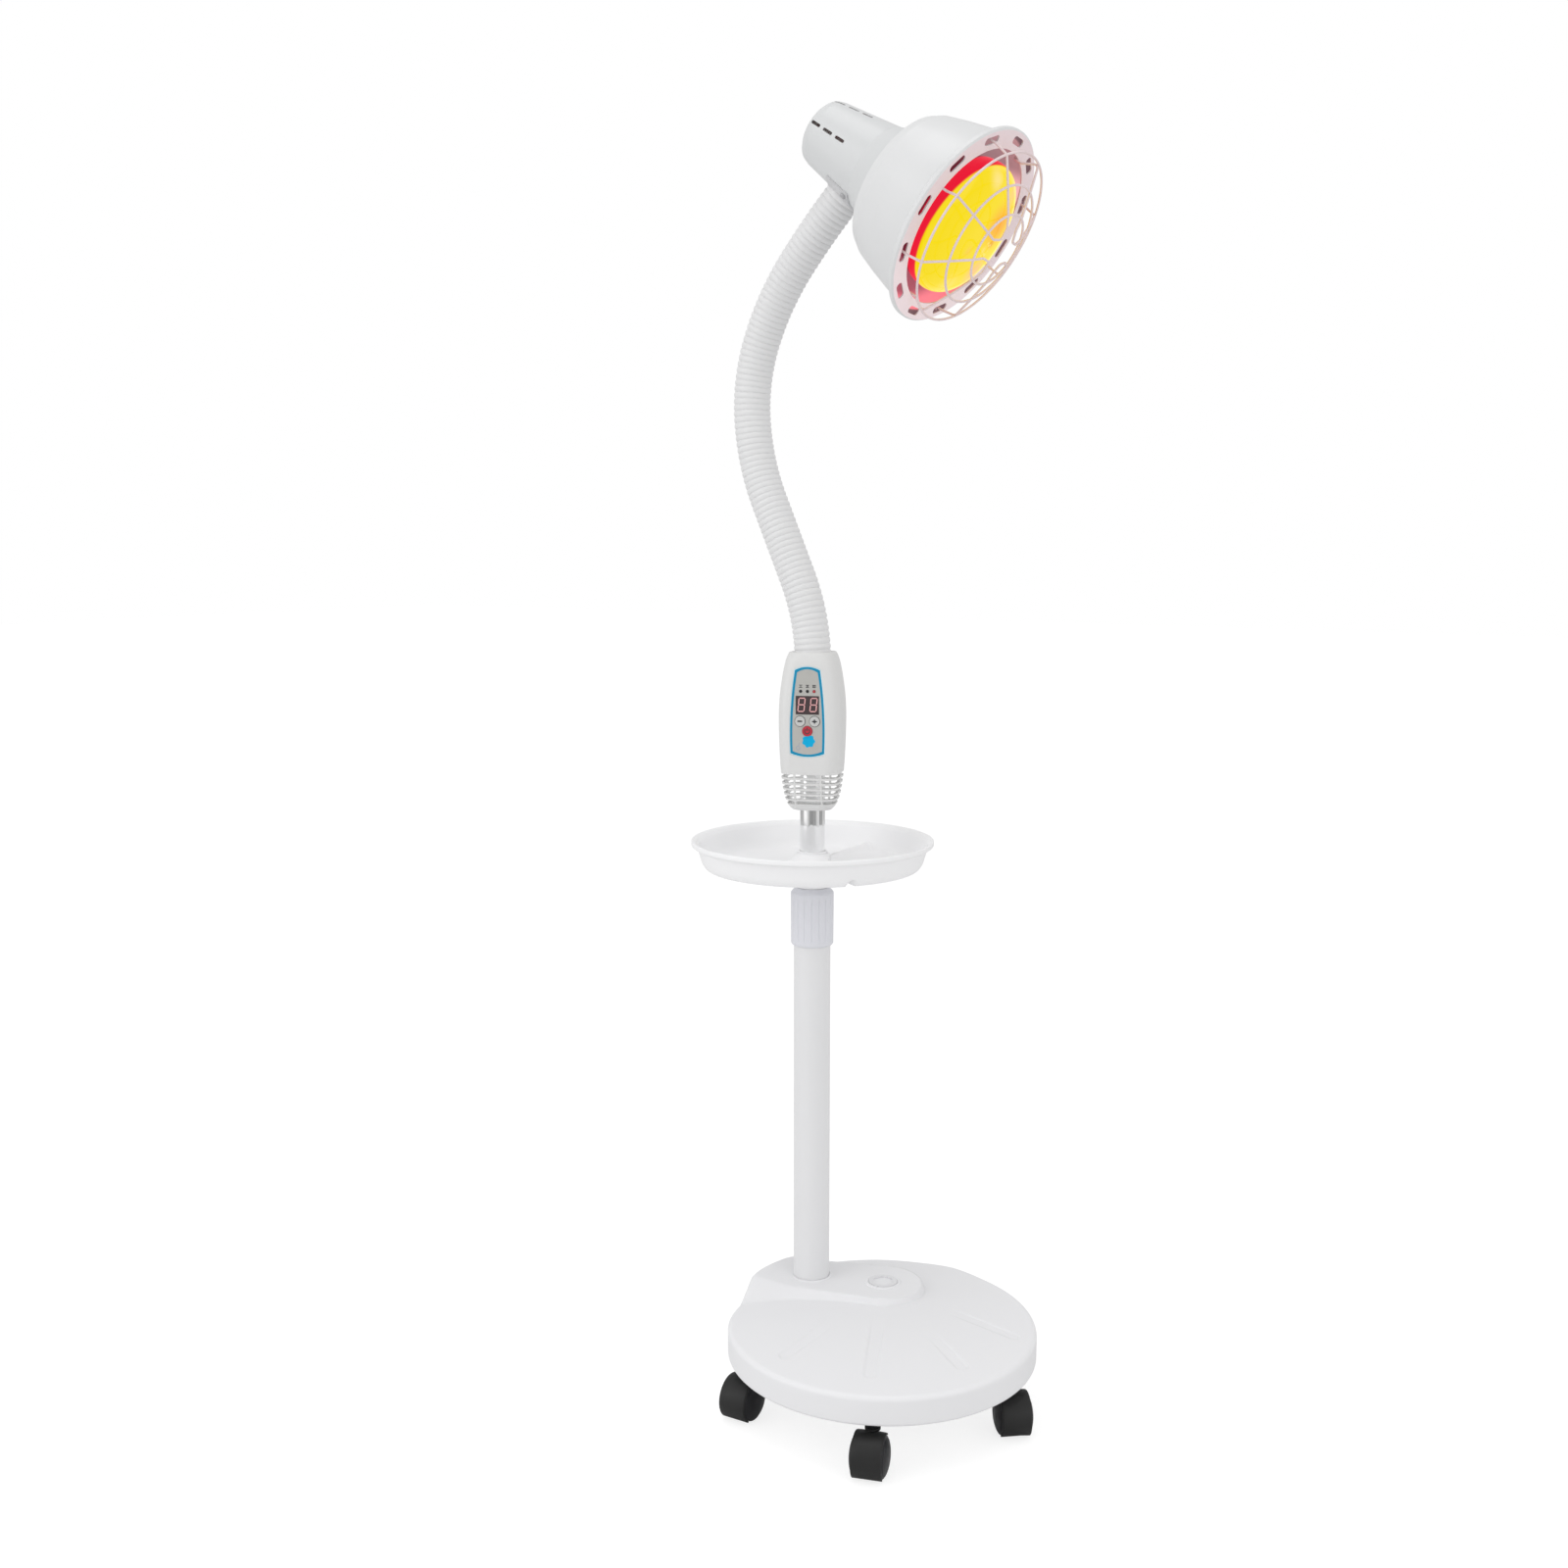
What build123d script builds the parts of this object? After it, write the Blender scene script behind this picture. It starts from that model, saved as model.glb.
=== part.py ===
from build123d import *
from math import atan2, cos, degrees, hypot, radians, sin
import os

os.makedirs("parts", exist_ok=True)

# A floor-standing infrared lamp.  Millimetres, +Z up.  The origin is on the floor under the
# mast's axis, and the gooseneck lies in the XZ plane with the lamp head towards +X.

# ---- Fits
RUN = 0.06             # radial room of a running fit
SLIP = 0.1             # radial room of a fixed piece in its hole
GAP = 0.3              # gap between pieces that move past each other

# ---- Base
BASE_RADIUS = 150.0
BASE_OFFSET = 108.3    # mast axis to the centre of the base
BASE_AZIMUTH = -19.25  # direction of that centre from the mast, degrees from +X
RIM_Z = 50.0           # underside of the base above the floor
BAND_HEIGHT = 28.0     # upright side of the base
CROWN_HEIGHT = 5.0     # rise of the top from the band to its middle
SHELL_WALL = 3.0
RIM_ROUND = 5.0        # radius of the base's upper edge
FOOT_ROUND = 3.0       # radius of its lower edge
TONGUE_HEIGHT = 12.0   # raised tongue above the band
TONGUE_HEAD = 41.0     # radius of its round end about the filler
TONGUE_TAIL = 30.5     # half width of its top where it meets the rim
TONGUE_SPREAD = 37.0   # how much wider its foot is at the rim
TONGUE_REACH = 60.0    # centre of the rim end, behind the mast
TONGUE_FLARE = 4.0     # how much wider its foot is at the round end
TONGUE_EDGE = 2.5      # bevel along its top
FILLER_OFFSET = 74.8   # mast axis to the filler
FILLER_AZIMUTH = 17.3
FILLER_RADIUS = 13.0   # threaded part of the plug
FILLER_HEAD = 14.5     # radius of the plug's head
FILLER_HEAD_HEIGHT = 1.4
FILLER_DEPTH = 13.0
FILLER_RING = 2.4      # width of the raised ring round the plug
FILLER_RING_HEIGHT = 1.0
HEX_FLATS = 19.0       # recess in the plug, across flats
HEX_DEPTH = 5.0
TROUGH_WIDTH = 12.0
TROUGH_DEPTH = 0.8
TROUGH_END = 2.5       # land between a trough and the rounded edge
TROUGHS = [(-93.0, 88.0), (-64.5, 64.0), (-36.0, 104.0), (-7.0, 78.0)]  # azimuth, start, from filler
SAND_DEPTH = 18.0

# ---- Casters
CASTER_COUNT = 5
CASTER_PITCH = 131.0   # radius of the stems about the base's centre
CASTER_AZIMUTH = -64.0
CASTER_HEADINGS = [-72.5, -51.5, -60.0, -95.0, -88.5]  # where each hood's closed back points
CASTER_TRAIL = 12.0    # stem axis to axle
WHEEL_RADIUS = 19.0
WHEEL_INNER = 6.2      # wheel's inner face from the caster's middle
WHEEL_EDGE = 14.2      # edge of the tread
WHEEL_DOME = 18.0      # outermost point of the domed face
WHEEL_SKIN = 1.6       # wheel left over the axle's end
AXLE_RADIUS = 3.0
WEB_HALF = 5.4         # half thickness of the hood's web
HOOD_RADIUS = 22.0
HOOD_INSIDE = 19.7
HOOD_HALF = 14.5
HOOD_BARREL = 1.4      # how much the hood's edges draw in
HOOD_START = -44.0     # the shroud's lower end, degrees above the horizontal behind the axle
HOOD_SWEEP = 172.0
STEM_PIN = 3.5         # radius of the stem in the hood
STEM_COLLAR = 5.5
STEM_SHANK = 4.0       # radius of the stem in the base
STEM_SHANK_LENGTH = 18.0
STEM_WELL = 9.0

# ---- Mast
POLE_RADIUS = 18.2
POLE_WALL = 1.5
POLE_TOP = 440.0
WELL_FLOOR = 10.0      # thickness of the base under the pole
WELL_WALL = 2.6
FOOT_LENGTH = 12.0
BOLT_RADIUS = 4.0
BOLT_HEAD = 7.0
BOLT_HEAD_HEIGHT = 5.3
TUBE_RADIUS = 12.2
TUBE_WALL = 1.5
TUBE_TOP = 706.0
BUSH_FLANGE = 8.0      # height of the bush below the tube's end
BUSH_SPIGOT = 18.0
LIFT = 300.0           # travel of the inner tube
COLLET_SPIGOT = 32.0
COLLET_FLANGE = 3.0
COLLET_HEIGHT = 38.0   # split part above the flange
COLLET_RADIUS = 17.3
COLLET_SLITS = 4
SLIT_WIDTH = 1.5
COLLAR_BOTTOM = 435.5
COLLAR_HEIGHT = 58.0
COLLAR_RADIUS = 21.3
COLLAR_BEVEL = 5.0
COLLAR_FLUTES = 18
FLUTE_RADIUS = 1.3
FLUTE_DEPTH = 0.5

# ---- Tray
TRAY_RADIUS = 119.5
TRAY_RIM_Z = 541.6
TRAY_DEPTH = 29.0
TRAY_WALL = 2.0
TRAY_FOOT = 100.0      # radius of the flat bottom
HUB_TOP = 530.0
HUB_WALL = 1.8
HUB_FOOT = 1.5         # step of the hub that carries the tray
BOSS_WALL = 1.5        # the tray's own boss round the hub
RIDGE_POINTS = [(87.0, -68.0), (18.0, 5.5), (3.0, 112.0)]  # middle line of the divider
RIDGE_WIDTH = 9.0
RIDGE_HEIGHT = 14.0
RIDGE_WALL = 2.0

# ---- Control box, in its own frame: front towards -Y, turned to PANEL_AZIMUTH
PANEL_AZIMUTH = -70.0
BOX_BOTTOM = 572.0
BOX_SECTIONS = [(0.0, 19.3, 15.5), (5.0, 23.0, 19.0), (18.0, 26.6, 23.0), (46.0, 29.2, 26.2),
                (83.0, 30.5, 26.8), (118.0, 28.9, 26.6), (140.0, 25.5, 25.6), (150.0, 23.0, 23.4),
                (154.0, 21.2, 21.0)]  # height, half width, half depth
BOX_CORNER = 13.0
BOX_WALL = 2.8
VENT_ROWS = 6
VENT_PITCH = 5.3
VENT_HEIGHT = 3.2
VENT_START = 8.2       # middle of the lowest slot above the box's bottom
RIB_OFFSET = 13.2
RIB_WIDTH = 1.6
SIDE_RIB = 3.0
CLAMP_Z = 614.0
CLAMP_HEIGHT = 3.0
LABEL_Y = 25.9         # front of the label from the box's axis
LABEL_THICK = 0.8
LABEL_BOTTOM = 625.5
LABEL_TOP = 713.5
LABEL_HALF_TOP = 12.9
LABEL_HALF_MID = 18.2
LABEL_HALF_BOTTOM = 17.2
LABEL_BOW = 3.2        # how far its top and bottom edges bow
DISPLAY_Z = 676.0
DISPLAY_SIZE = (22.8, 17.8)
LED_Z = 689.4
LED_SPACING = 6.6
LED_RADIUS = 1.5
LED_PROUD = 0.3
WINDOW_SUNK = 0.3      # display window behind the label's face
BUTTON_RADIUS = 4.85
BUTTON_PLACES = {"left_button": (-7.2, 660.5), "right_button": (7.2, 660.5), "power_button": (0.0, 651.0)}
BUTTON_PROUD = 0.8
BUTTON_LENGTH = 3.0
BUTTON_TRAVEL = 0.6
BOARD_Y = 20.4         # front of the circuit board from the axis
BOARD_THICK = 1.6
BOARD_SIZE = (26.0, 68.0)
BOARD_Z = 666.0
SWITCH_SIZE = 6.0
PLUNGER_RADIUS = 1.7
PLUNGER_LENGTH = 0.6
PLUNGER_ROOM = 0.2     # between a plunger and its pressed button
SCREW_X = 22.6
SCREW_Z = (622.0, 698.0)
SCREW_RADIUS = 1.45
SCREW_HEAD = 3.0
SCREW_HEAD_Y = 19.8
SCREW_END_Y = -12.0
BOSS_RADIUS = 4.4
GLAND_X = 19.6
GLAND_Z = 655.0
GLAND_BORE = 3.3
GLAND_NECK = 4.8
GLAND_FLANGE = 7.0
GLAND_INSIDE = 20.0    # inner end from the box's axis
GLAND_NUT = 27.0       # where its nut starts
GLAND_OUTSIDE = 31.0
TUBE_PASSAGE = 14.0    # height of the hole for the tube in the box's narrow foot
COUPLER_LENGTH = 14.0  # overlap with the tube
COUPLER_WALL = 4.6

# ---- Gooseneck: arcs of one length, end to end, in the XZ plane
NECK_START_Z = 722.0
NECK_HEADING = -2.5    # degrees from upright, towards +X
NECK_STEP = 78.8
NECK_TURNS = [-21.5, 0.0, 19.5, 25.5, 18.0, 6.5]
NECK_CUFF = 7.0        # plain end beyond the last arc, cut to the housing
SLEEVE_RADIUS = 17.8
SLEEVE_WALL = 1.5
RING_COUNT = 14        # rings on each length
RING_GROOVE = 1.3      # radius of the groove between rings
RING_DEPTH = 0.8
CORE_RADIUS = 12.5
CORE_WALL = 3.0
BALL_ROOM = 0.4        # how much a joint's sphere is larger than its tube

# ---- Lamp head: the flange's face, then distances back from it along the lamp's axis
HEAD_REACH = 157.7
HEAD_Z = 1108.6
HEAD_TILT = 34.1       # axis below the horizontal
FLANGE_RADIUS = 93.0
MOUTH_RADIUS = 74.7
FLANGE_LIP = 6.0
BELL_FRONT_RADIUS = 86.5
BELL_BACK_RADIUS = 71.5
BELL_LENGTH = 80.2
BELL_THROAT = 46.0
SHEET = 1.2            # pressed metal of the bell
SLOT_COUNT = 12
SLOT_AZIMUTH = 5.0     # first slot from the top
SLOT_RADIUS = 84.0
SLOT_LENGTH = 19.0
SLOT_WIDTH = 7.0
HOUSING_FRONT = 50.0
HOUSING_BACK = 32.0
HOUSING_END = 179.0
HOUSING_WALL = 1.4
VENT_LINES = 4          # none where the neck comes in
VENT_AZIMUTH = -79.5
VENT_TURN = 60.0
VENT_PLACES = [136.0, 152.5, 169.0]
VENT_SIZE = (12.0, 3.0)
GUARD_WIRE = 1.1       # radius of the wire
GUARD_RINGS = [(80.8, -18.3), (56.3, -29.3), (33.6, -38.7)]
GUARD_EYE = (23.0, -41.5)
GUARD_HOOK = 4.0
LEG_AZIMUTH = -25.0
LEG_COUNT = 4
LEG_SPREAD = 45.0
BULB_RADIUS = 62.5
BULB_FACE = 20.0       # crown of the bulb's face in front of the flange
BULB_LENGTH = 155.0    # glass, from its crown to the cap
BULB_NECK = 16.0
BULB_GLASS = 1.2
CAP_RADIUS = 13.2
CAP_LENGTH = 24.0
HOLDER_RADIUS = 19.0
HOLDER_OFFSET = 1.0    # from the cap's rim to the holder's mouth
HOLDER_RIM = 24.0
BRACKET_THICK = 1.6
BRACKET_SPAN = (106.0, 136.0)
BRACKET_HALF_ANGLE = 44.0
BRACKET_SCREW = (111.0, 37.0)  # distance back, degrees from the underside
BRACKET_SCREW_RADIUS = 1.4
BRACKET_SCREW_HEAD = 3.0


# ---------------------------------------------------------------- helpers

def keep(node, *solids):
    """Write one sub-part; several solids become one group."""
    shape = solids[0] if len(solids) == 1 else Compound(children=list(solids))
    shape.label = node
    export_step(shape, "parts/" + node + ".step")


def polar(radius, azimuth, height=0.0):
    return Pos(radius * cos(radians(azimuth)), radius * sin(radians(azimuth)), height)


def rod(radius, low, high):
    """Solid cylinder on the Z axis between two heights."""
    return Pos(0, 0, low) * Cylinder(radius, high - low, align=(Align.CENTER, Align.CENTER, Align.MIN))


def pipe(outer, inner, low, high):
    return rod(outer, low, high) - rod(inner, low, high)


def spun(points, arc=360.0):
    """Turn an outline of (radius, height) points about the Z axis."""
    return revolve(Plane.XZ * make_face(Polyline(*points, close=True)), Axis.Z, arc)


def wall_outline(points, thickness):
    """Close an open run of (radius, height) points into a wall, thickened to its left."""
    normals = []
    for (r0, z0), (r1, z1) in zip(points, points[1:]):
        length = hypot(r1 - r0, z1 - z0)
        normals.append(((z0 - z1) / length, (r1 - r0) / length))
    inner = []
    for i, (r, z) in enumerate(points):
        before = normals[max(i - 1, 0)]
        after = normals[min(i, len(normals) - 1)]
        share = 1 + before[0] * after[0] + before[1] * after[1]
        inner.append((max(0, r + thickness * (before[0] + after[0]) / share),
                      z + thickness * (before[1] + after[1]) / share))
    return list(points) + inner[::-1]


# ---------------------------------------------------------------- base

BAND_TOP = RIM_Z + BAND_HEIGHT
TONGUE_TOP = BAND_TOP + TONGUE_HEIGHT
BASE = polar(BASE_OFFSET, BASE_AZIMUTH)
FILLER = polar(FILLER_OFFSET, FILLER_AZIMUTH)
POLE_FOOT_Z = RIM_Z + WELL_FLOOR
WELL_RADIUS = POLE_RADIUS + SLIP + WELL_WALL


def dome(inset, lift):
    """The round body of the base, drawn in by one wall: a band under a shallow crown."""
    radius = BASE_RADIUS - inset
    low = RIM_Z + lift
    high = BAND_TOP - inset
    crown = high + CROWN_HEIGHT
    outline = (Line((0, low), (radius, low)) + Line((radius, low), (radius, high))
               + Bezier((radius, high), (radius / 2, crown), (0, crown)) + Line((0, crown), (0, low)))
    face = make_face(outline)
    corners = face.vertices().filter_by(lambda v: abs(v.X - radius) < 0.01).sort_by(Axis.Y)
    face = fillet(corners[0], FOOT_ROUND - inset / 2)
    corner = face.vertices().filter_by(lambda v: abs(v.X - radius) < 0.01 and abs(v.Y - high) < 0.01)
    face = fillet(corner, RIM_ROUND - inset / 2)
    return BASE * revolve(Plane.XZ * face, Axis.Z)


def tongue_outline(head, tail, height):
    """Outline round the filler and round a point behind the mast, with straight sides."""
    tail_centre = polar(-TONGUE_REACH, FILLER_AZIMUTH)
    circles = [FILLER * Edge.make_circle(head), tail_centre * Edge.make_circle(tail)]
    return Pos(0, 0, height) * make_hull(circles)


def tongue(inset):
    """The raised tongue, from the rim to its round end; its foot spreads towards the rim."""
    top = TONGUE_TOP - inset
    foot = tongue_outline(TONGUE_HEAD + TONGUE_FLARE - inset, TONGUE_TAIL + TONGUE_SPREAD - inset,
                          BAND_TOP - 2 - inset)
    shoulder = tongue_outline(TONGUE_HEAD - inset, TONGUE_TAIL - inset, top - TONGUE_EDGE)
    brow = tongue_outline(TONGUE_HEAD - TONGUE_EDGE - inset, TONGUE_TAIL - TONGUE_EDGE - inset, top)
    body = loft([foot, shoulder], ruled=True) + loft([shoulder, brow], ruled=True)
    radius = BASE_RADIUS - inset
    limit = spun([(0, RIM_Z), (radius, RIM_Z), (radius, top - TONGUE_EDGE), (radius - TONGUE_EDGE, top),
                  (0, top)])
    return body & (BASE * limit)


def stem_places():
    step = 360.0 / CASTER_COUNT
    return [BASE * polar(CASTER_PITCH, CASTER_AZIMUTH + step * k) for k in range(CASTER_COUNT)]


def wells(extra):
    """Walls that stand up inside the base round the pole and the caster stems."""
    body = rod(WELL_RADIUS + extra, RIM_Z, TONGUE_TOP - 1)
    for place in stem_places():
        body += place * rod(STEM_WELL + extra, RIM_Z, BAND_TOP - 2)
    return body


def troughs():
    """Shallow troughs that run out from the filler and end in a curve short of the rim."""
    reach = BASE_RADIUS - RIM_ROUND - TROUGH_END
    rise = CROWN_HEIGHT * (1 - (reach / BASE_RADIUS) ** 2)
    bed = BAND_TOP - TROUGH_DEPTH
    middle = bed + CROWN_HEIGHT
    face = make_face(Bezier((reach, bed + rise), (reach / 2, middle), (0, middle))
                     + Polyline((0, middle), (0, TONGUE_TOP), (reach, TONGUE_TOP), (reach, bed + rise)))
    air = BASE * revolve(Plane.XZ * face, Axis.Z)
    trough = RectangleRounded(BASE_RADIUS, TROUGH_WIDTH, TROUGH_WIDTH / 2 - 0.1)
    track = extrude(Pos(BASE_RADIUS / 2, 0) * trough, 2 * TONGUE_TOP)
    return [(FILLER * Rot(0, 0, azimuth) * Pos(start, 0, 0) * track) & air for azimuth, start in TROUGHS]


def base_shell():
    body = dome(0, 0) + tongue(0) - (dome(SHELL_WALL, SHELL_WALL) + tongue(SHELL_WALL))
    body += wells(0)
    body -= troughs()
    ring = pipe(FILLER_HEAD + GAP + FILLER_RING, FILLER_HEAD + GAP, TONGUE_TOP - 1,
                TONGUE_TOP + FILLER_RING_HEIGHT)
    body += FILLER * ring
    body -= FILLER * rod(FILLER_RADIUS + SLIP, BAND_TOP, TONGUE_TOP + FILLER_RING_HEIGHT)
    body -= rod(POLE_RADIUS + SLIP, POLE_FOOT_Z, TONGUE_TOP + 1)
    body -= rod(BOLT_RADIUS + SLIP, RIM_Z, POLE_FOOT_Z)
    body -= rod(BOLT_HEAD + 1, RIM_Z, RIM_Z + BOLT_HEAD_HEIGHT)
    for place in stem_places():
        body -= place * rod(STEM_SHANK + SLIP / 2, RIM_Z, RIM_Z + STEM_SHANK_LENGTH + 1)
    return body


keep("base_shell", base_shell())

sand_floor = RIM_Z + SHELL_WALL
sand = BASE * rod(BASE_RADIUS - SHELL_WALL - 2 * GAP - RIM_ROUND, sand_floor, sand_floor + SAND_DEPTH)
keep("sand_ballast", sand - wells(GAP))


def filler_plug():
    """Screw plug: a flat head with a hexagonal recess over a short hollow thread."""
    top = TONGUE_TOP + FILLER_HEAD_HEIGHT
    body = rod(FILLER_HEAD, TONGUE_TOP, top) + rod(FILLER_RADIUS, top - FILLER_DEPTH, top)
    recess = extrude(RegularPolygon(HEX_FLATS / 2, 6, major_radius=False), HEX_DEPTH)
    body -= Pos(0, 0, top - HEX_DEPTH) * recess
    return FILLER * body


keep("filler_plug", filler_plug())


# ---------------------------------------------------------------- casters

AXLE = Pos(CASTER_TRAIL, 0, WHEEL_RADIUS) * Rot(90, 0, 0)
HOOD_TOP = WHEEL_RADIUS + HOOD_RADIUS
AXLE_HALF = WHEEL_DOME - WHEEL_SKIN


def caster_hood():
    """Web between the wheels, barrel-shaped shroud over them and a socket for the stem."""
    edge = HOOD_RADIUS - HOOD_BARREL
    outline = (ThreePointArc((edge, -HOOD_HALF), (HOOD_RADIUS, 0), (edge, HOOD_HALF))
               + Polyline((edge, HOOD_HALF), (HOOD_INSIDE, HOOD_HALF), (HOOD_INSIDE, -HOOD_HALF),
                          (edge, -HOOD_HALF)))
    shroud = revolve(Plane.XZ * make_face(outline), Axis.Z, HOOD_SWEEP)
    wedge = spun([(0, -WEB_HALF), (HOOD_INSIDE + 0.5, -WEB_HALF), (HOOD_INSIDE + 0.5, WEB_HALF),
                  (0, WEB_HALF)], HOOD_SWEEP)
    disc = rod(WHEEL_RADIUS - 5, -WEB_HALF, WEB_HALF)
    body = AXLE * (Rot(0, 0, HOOD_START) * (shroud + wedge) + disc)
    body += rod(WEB_HALF, WHEEL_RADIUS - 4, HOOD_TOP)
    body += rod(WEB_HALF + 2, HOOD_TOP - 3.5, HOOD_TOP)
    body -= rod(STEM_PIN + RUN, WHEEL_RADIUS - 2, HOOD_TOP)
    body -= AXLE * rod(AXLE_RADIUS + RUN, -WEB_HALF, WEB_HALF)
    return body


def caster_wheel():
    """One wheel of the pair: a flat tread and a domed outer face, closed over the axle."""
    return spun([(AXLE_RADIUS, WHEEL_INNER), (WHEEL_RADIUS - 0.8, WHEEL_INNER),
                 (WHEEL_RADIUS, WHEEL_INNER + 0.8), (WHEEL_RADIUS, WHEEL_EDGE - 1.0),
                 (WHEEL_RADIUS - 0.8, WHEEL_EDGE), (0.75 * WHEEL_RADIUS, WHEEL_EDGE + 2.0),
                 (0.4 * WHEEL_RADIUS, WHEEL_DOME - 0.5), (0, WHEEL_DOME), (0, AXLE_HALF),
                 (AXLE_RADIUS, AXLE_HALF)])


def caster_stem():
    """Stem: a pin in the hood, the black collar under the base and a shank in its socket."""
    return (rod(STEM_PIN, WHEEL_RADIUS, HOOD_TOP + GAP) + rod(STEM_COLLAR, HOOD_TOP + GAP, RIM_Z)
            + rod(STEM_SHANK, RIM_Z, RIM_Z + STEM_SHANK_LENGTH))


hood = caster_hood()
wheel = caster_wheel()
for k, place in enumerate(stem_places()):
    heading = Rot(0, 0, CASTER_HEADINGS[k])
    stand = Pos(place.position) * heading
    number = str(k + 1)
    keep("caster_hood_" + number, stand * hood)
    keep("caster_axle_" + number, stand * AXLE * rod(AXLE_RADIUS, -AXLE_HALF, AXLE_HALF))
    keep("caster_wheels_" + number, stand * AXLE * wheel, stand * AXLE * Rot(180, 0, 0) * wheel)
keep("caster_stems", *[Pos(place.position) * caster_stem() for place in stem_places()])


# ---------------------------------------------------------------- mast

POLE_BORE = POLE_RADIUS - POLE_WALL
TUBE_BORE = TUBE_RADIUS - TUBE_WALL
COLLET_BOTTOM = POLE_TOP - COLLET_SPIGOT
TUBE_BOTTOM = COLLET_BOTTOM - LIFT - BUSH_FLANGE
COLLAR_TOP = COLLAR_BOTTOM + COLLAR_HEIGHT
COLLET_TOP = POLE_TOP + COLLET_FLANGE + COLLET_HEIGHT

keep("lower_pole", pipe(POLE_RADIUS, POLE_BORE, POLE_FOOT_Z, POLE_TOP))
keep("pole_foot", pipe(POLE_BORE, BOLT_RADIUS, POLE_FOOT_Z, POLE_FOOT_Z + FOOT_LENGTH))

bolt_seat = RIM_Z + BOLT_HEAD_HEIGHT
bolt_head = Pos(0, 0, RIM_Z) * extrude(RegularPolygon(BOLT_HEAD, 6), BOLT_HEAD_HEIGHT)
keep("pole_bolt", bolt_head + rod(BOLT_RADIUS, bolt_seat, POLE_FOOT_Z + FOOT_LENGTH))


def collet():
    """Plastic insert in the pole's mouth; its split upper part closes on the inner tube."""
    flange_top = POLE_TOP + COLLET_FLANGE
    body = rod(POLE_BORE, COLLET_BOTTOM, POLE_TOP) + rod(POLE_RADIUS, POLE_TOP, flange_top)
    body += rod(COLLET_RADIUS, flange_top, COLLET_TOP)
    body -= rod(TUBE_RADIUS + RUN, COLLET_BOTTOM, COLLET_TOP)
    slit = Box(2 * POLE_RADIUS, SLIT_WIDTH, COLLET_HEIGHT, align=(Align.CENTER, Align.CENTER, Align.MIN))
    for k in range(COLLET_SLITS // 2):
        body -= Rot(0, 0, 360.0 / COLLET_SLITS * k) * Pos(0, 0, flange_top + 4) * slit
    return body


keep("collet", collet())


def twist_collar():
    """Sleeve over the pole's mouth with bevelled ends and shallow flutes for the hand."""
    inner = POLE_RADIUS + GAP
    body = spun([(inner, COLLAR_BOTTOM), (COLLAR_RADIUS - 1.5, COLLAR_BOTTOM),
                 (COLLAR_RADIUS, COLLAR_BOTTOM + 2), (COLLAR_RADIUS, COLLAR_TOP - COLLAR_BEVEL),
                 (COLLAR_RADIUS - COLLAR_BEVEL, COLLAR_TOP), (TUBE_RADIUS + GAP, COLLAR_TOP),
                 (TUBE_RADIUS + GAP, COLLET_TOP + GAP), (inner, COLLET_TOP + GAP)])
    flutes = []
    for k in range(COLLAR_FLUTES):
        at = polar(COLLAR_RADIUS + FLUTE_RADIUS - FLUTE_DEPTH, 360.0 / COLLAR_FLUTES * k)
        flutes.append(at * rod(FLUTE_RADIUS, COLLAR_BOTTOM + 5, COLLAR_TOP - COLLAR_BEVEL - 3))
    return body - flutes


keep("twist_collar", twist_collar())


def guide_bush():
    """Bush under the inner tube: a flange that slides in the pole and a spigot in the tube."""
    body = rod(POLE_BORE - RUN, TUBE_BOTTOM - BUSH_FLANGE, TUBE_BOTTOM)
    body += rod(TUBE_BORE - RUN, TUBE_BOTTOM, TUBE_BOTTOM + BUSH_SPIGOT)
    return body - rod(TUBE_BORE - 3, TUBE_BOTTOM - BUSH_FLANGE, TUBE_BOTTOM + BUSH_SPIGOT)


keep("guide_bush", guide_bush())
keep("inner_tube", pipe(TUBE_RADIUS, TUBE_BORE, TUBE_BOTTOM, TUBE_TOP))


# ---------------------------------------------------------------- tray

TRAY_BOTTOM = TRAY_RIM_Z - TRAY_DEPTH
TRAY_FLOOR = TRAY_BOTTOM + TRAY_WALL
HUB_BORE = TUBE_RADIUS + GAP
HUB_RADIUS = HUB_BORE + HUB_WALL


def ridge_band(width, low, high):
    """Upright band along the divider's curved middle line."""
    line = ThreePointArc(*RIDGE_POINTS)
    start, end = line @ 0, line @ 1
    first = start - (line % 0) * 25
    last = end + (line % 1) * 25
    path = Line(first, start) + line + Line(end, last)
    return Pos(0, 0, low) * extrude(trace(path, width), high - low)


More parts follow.
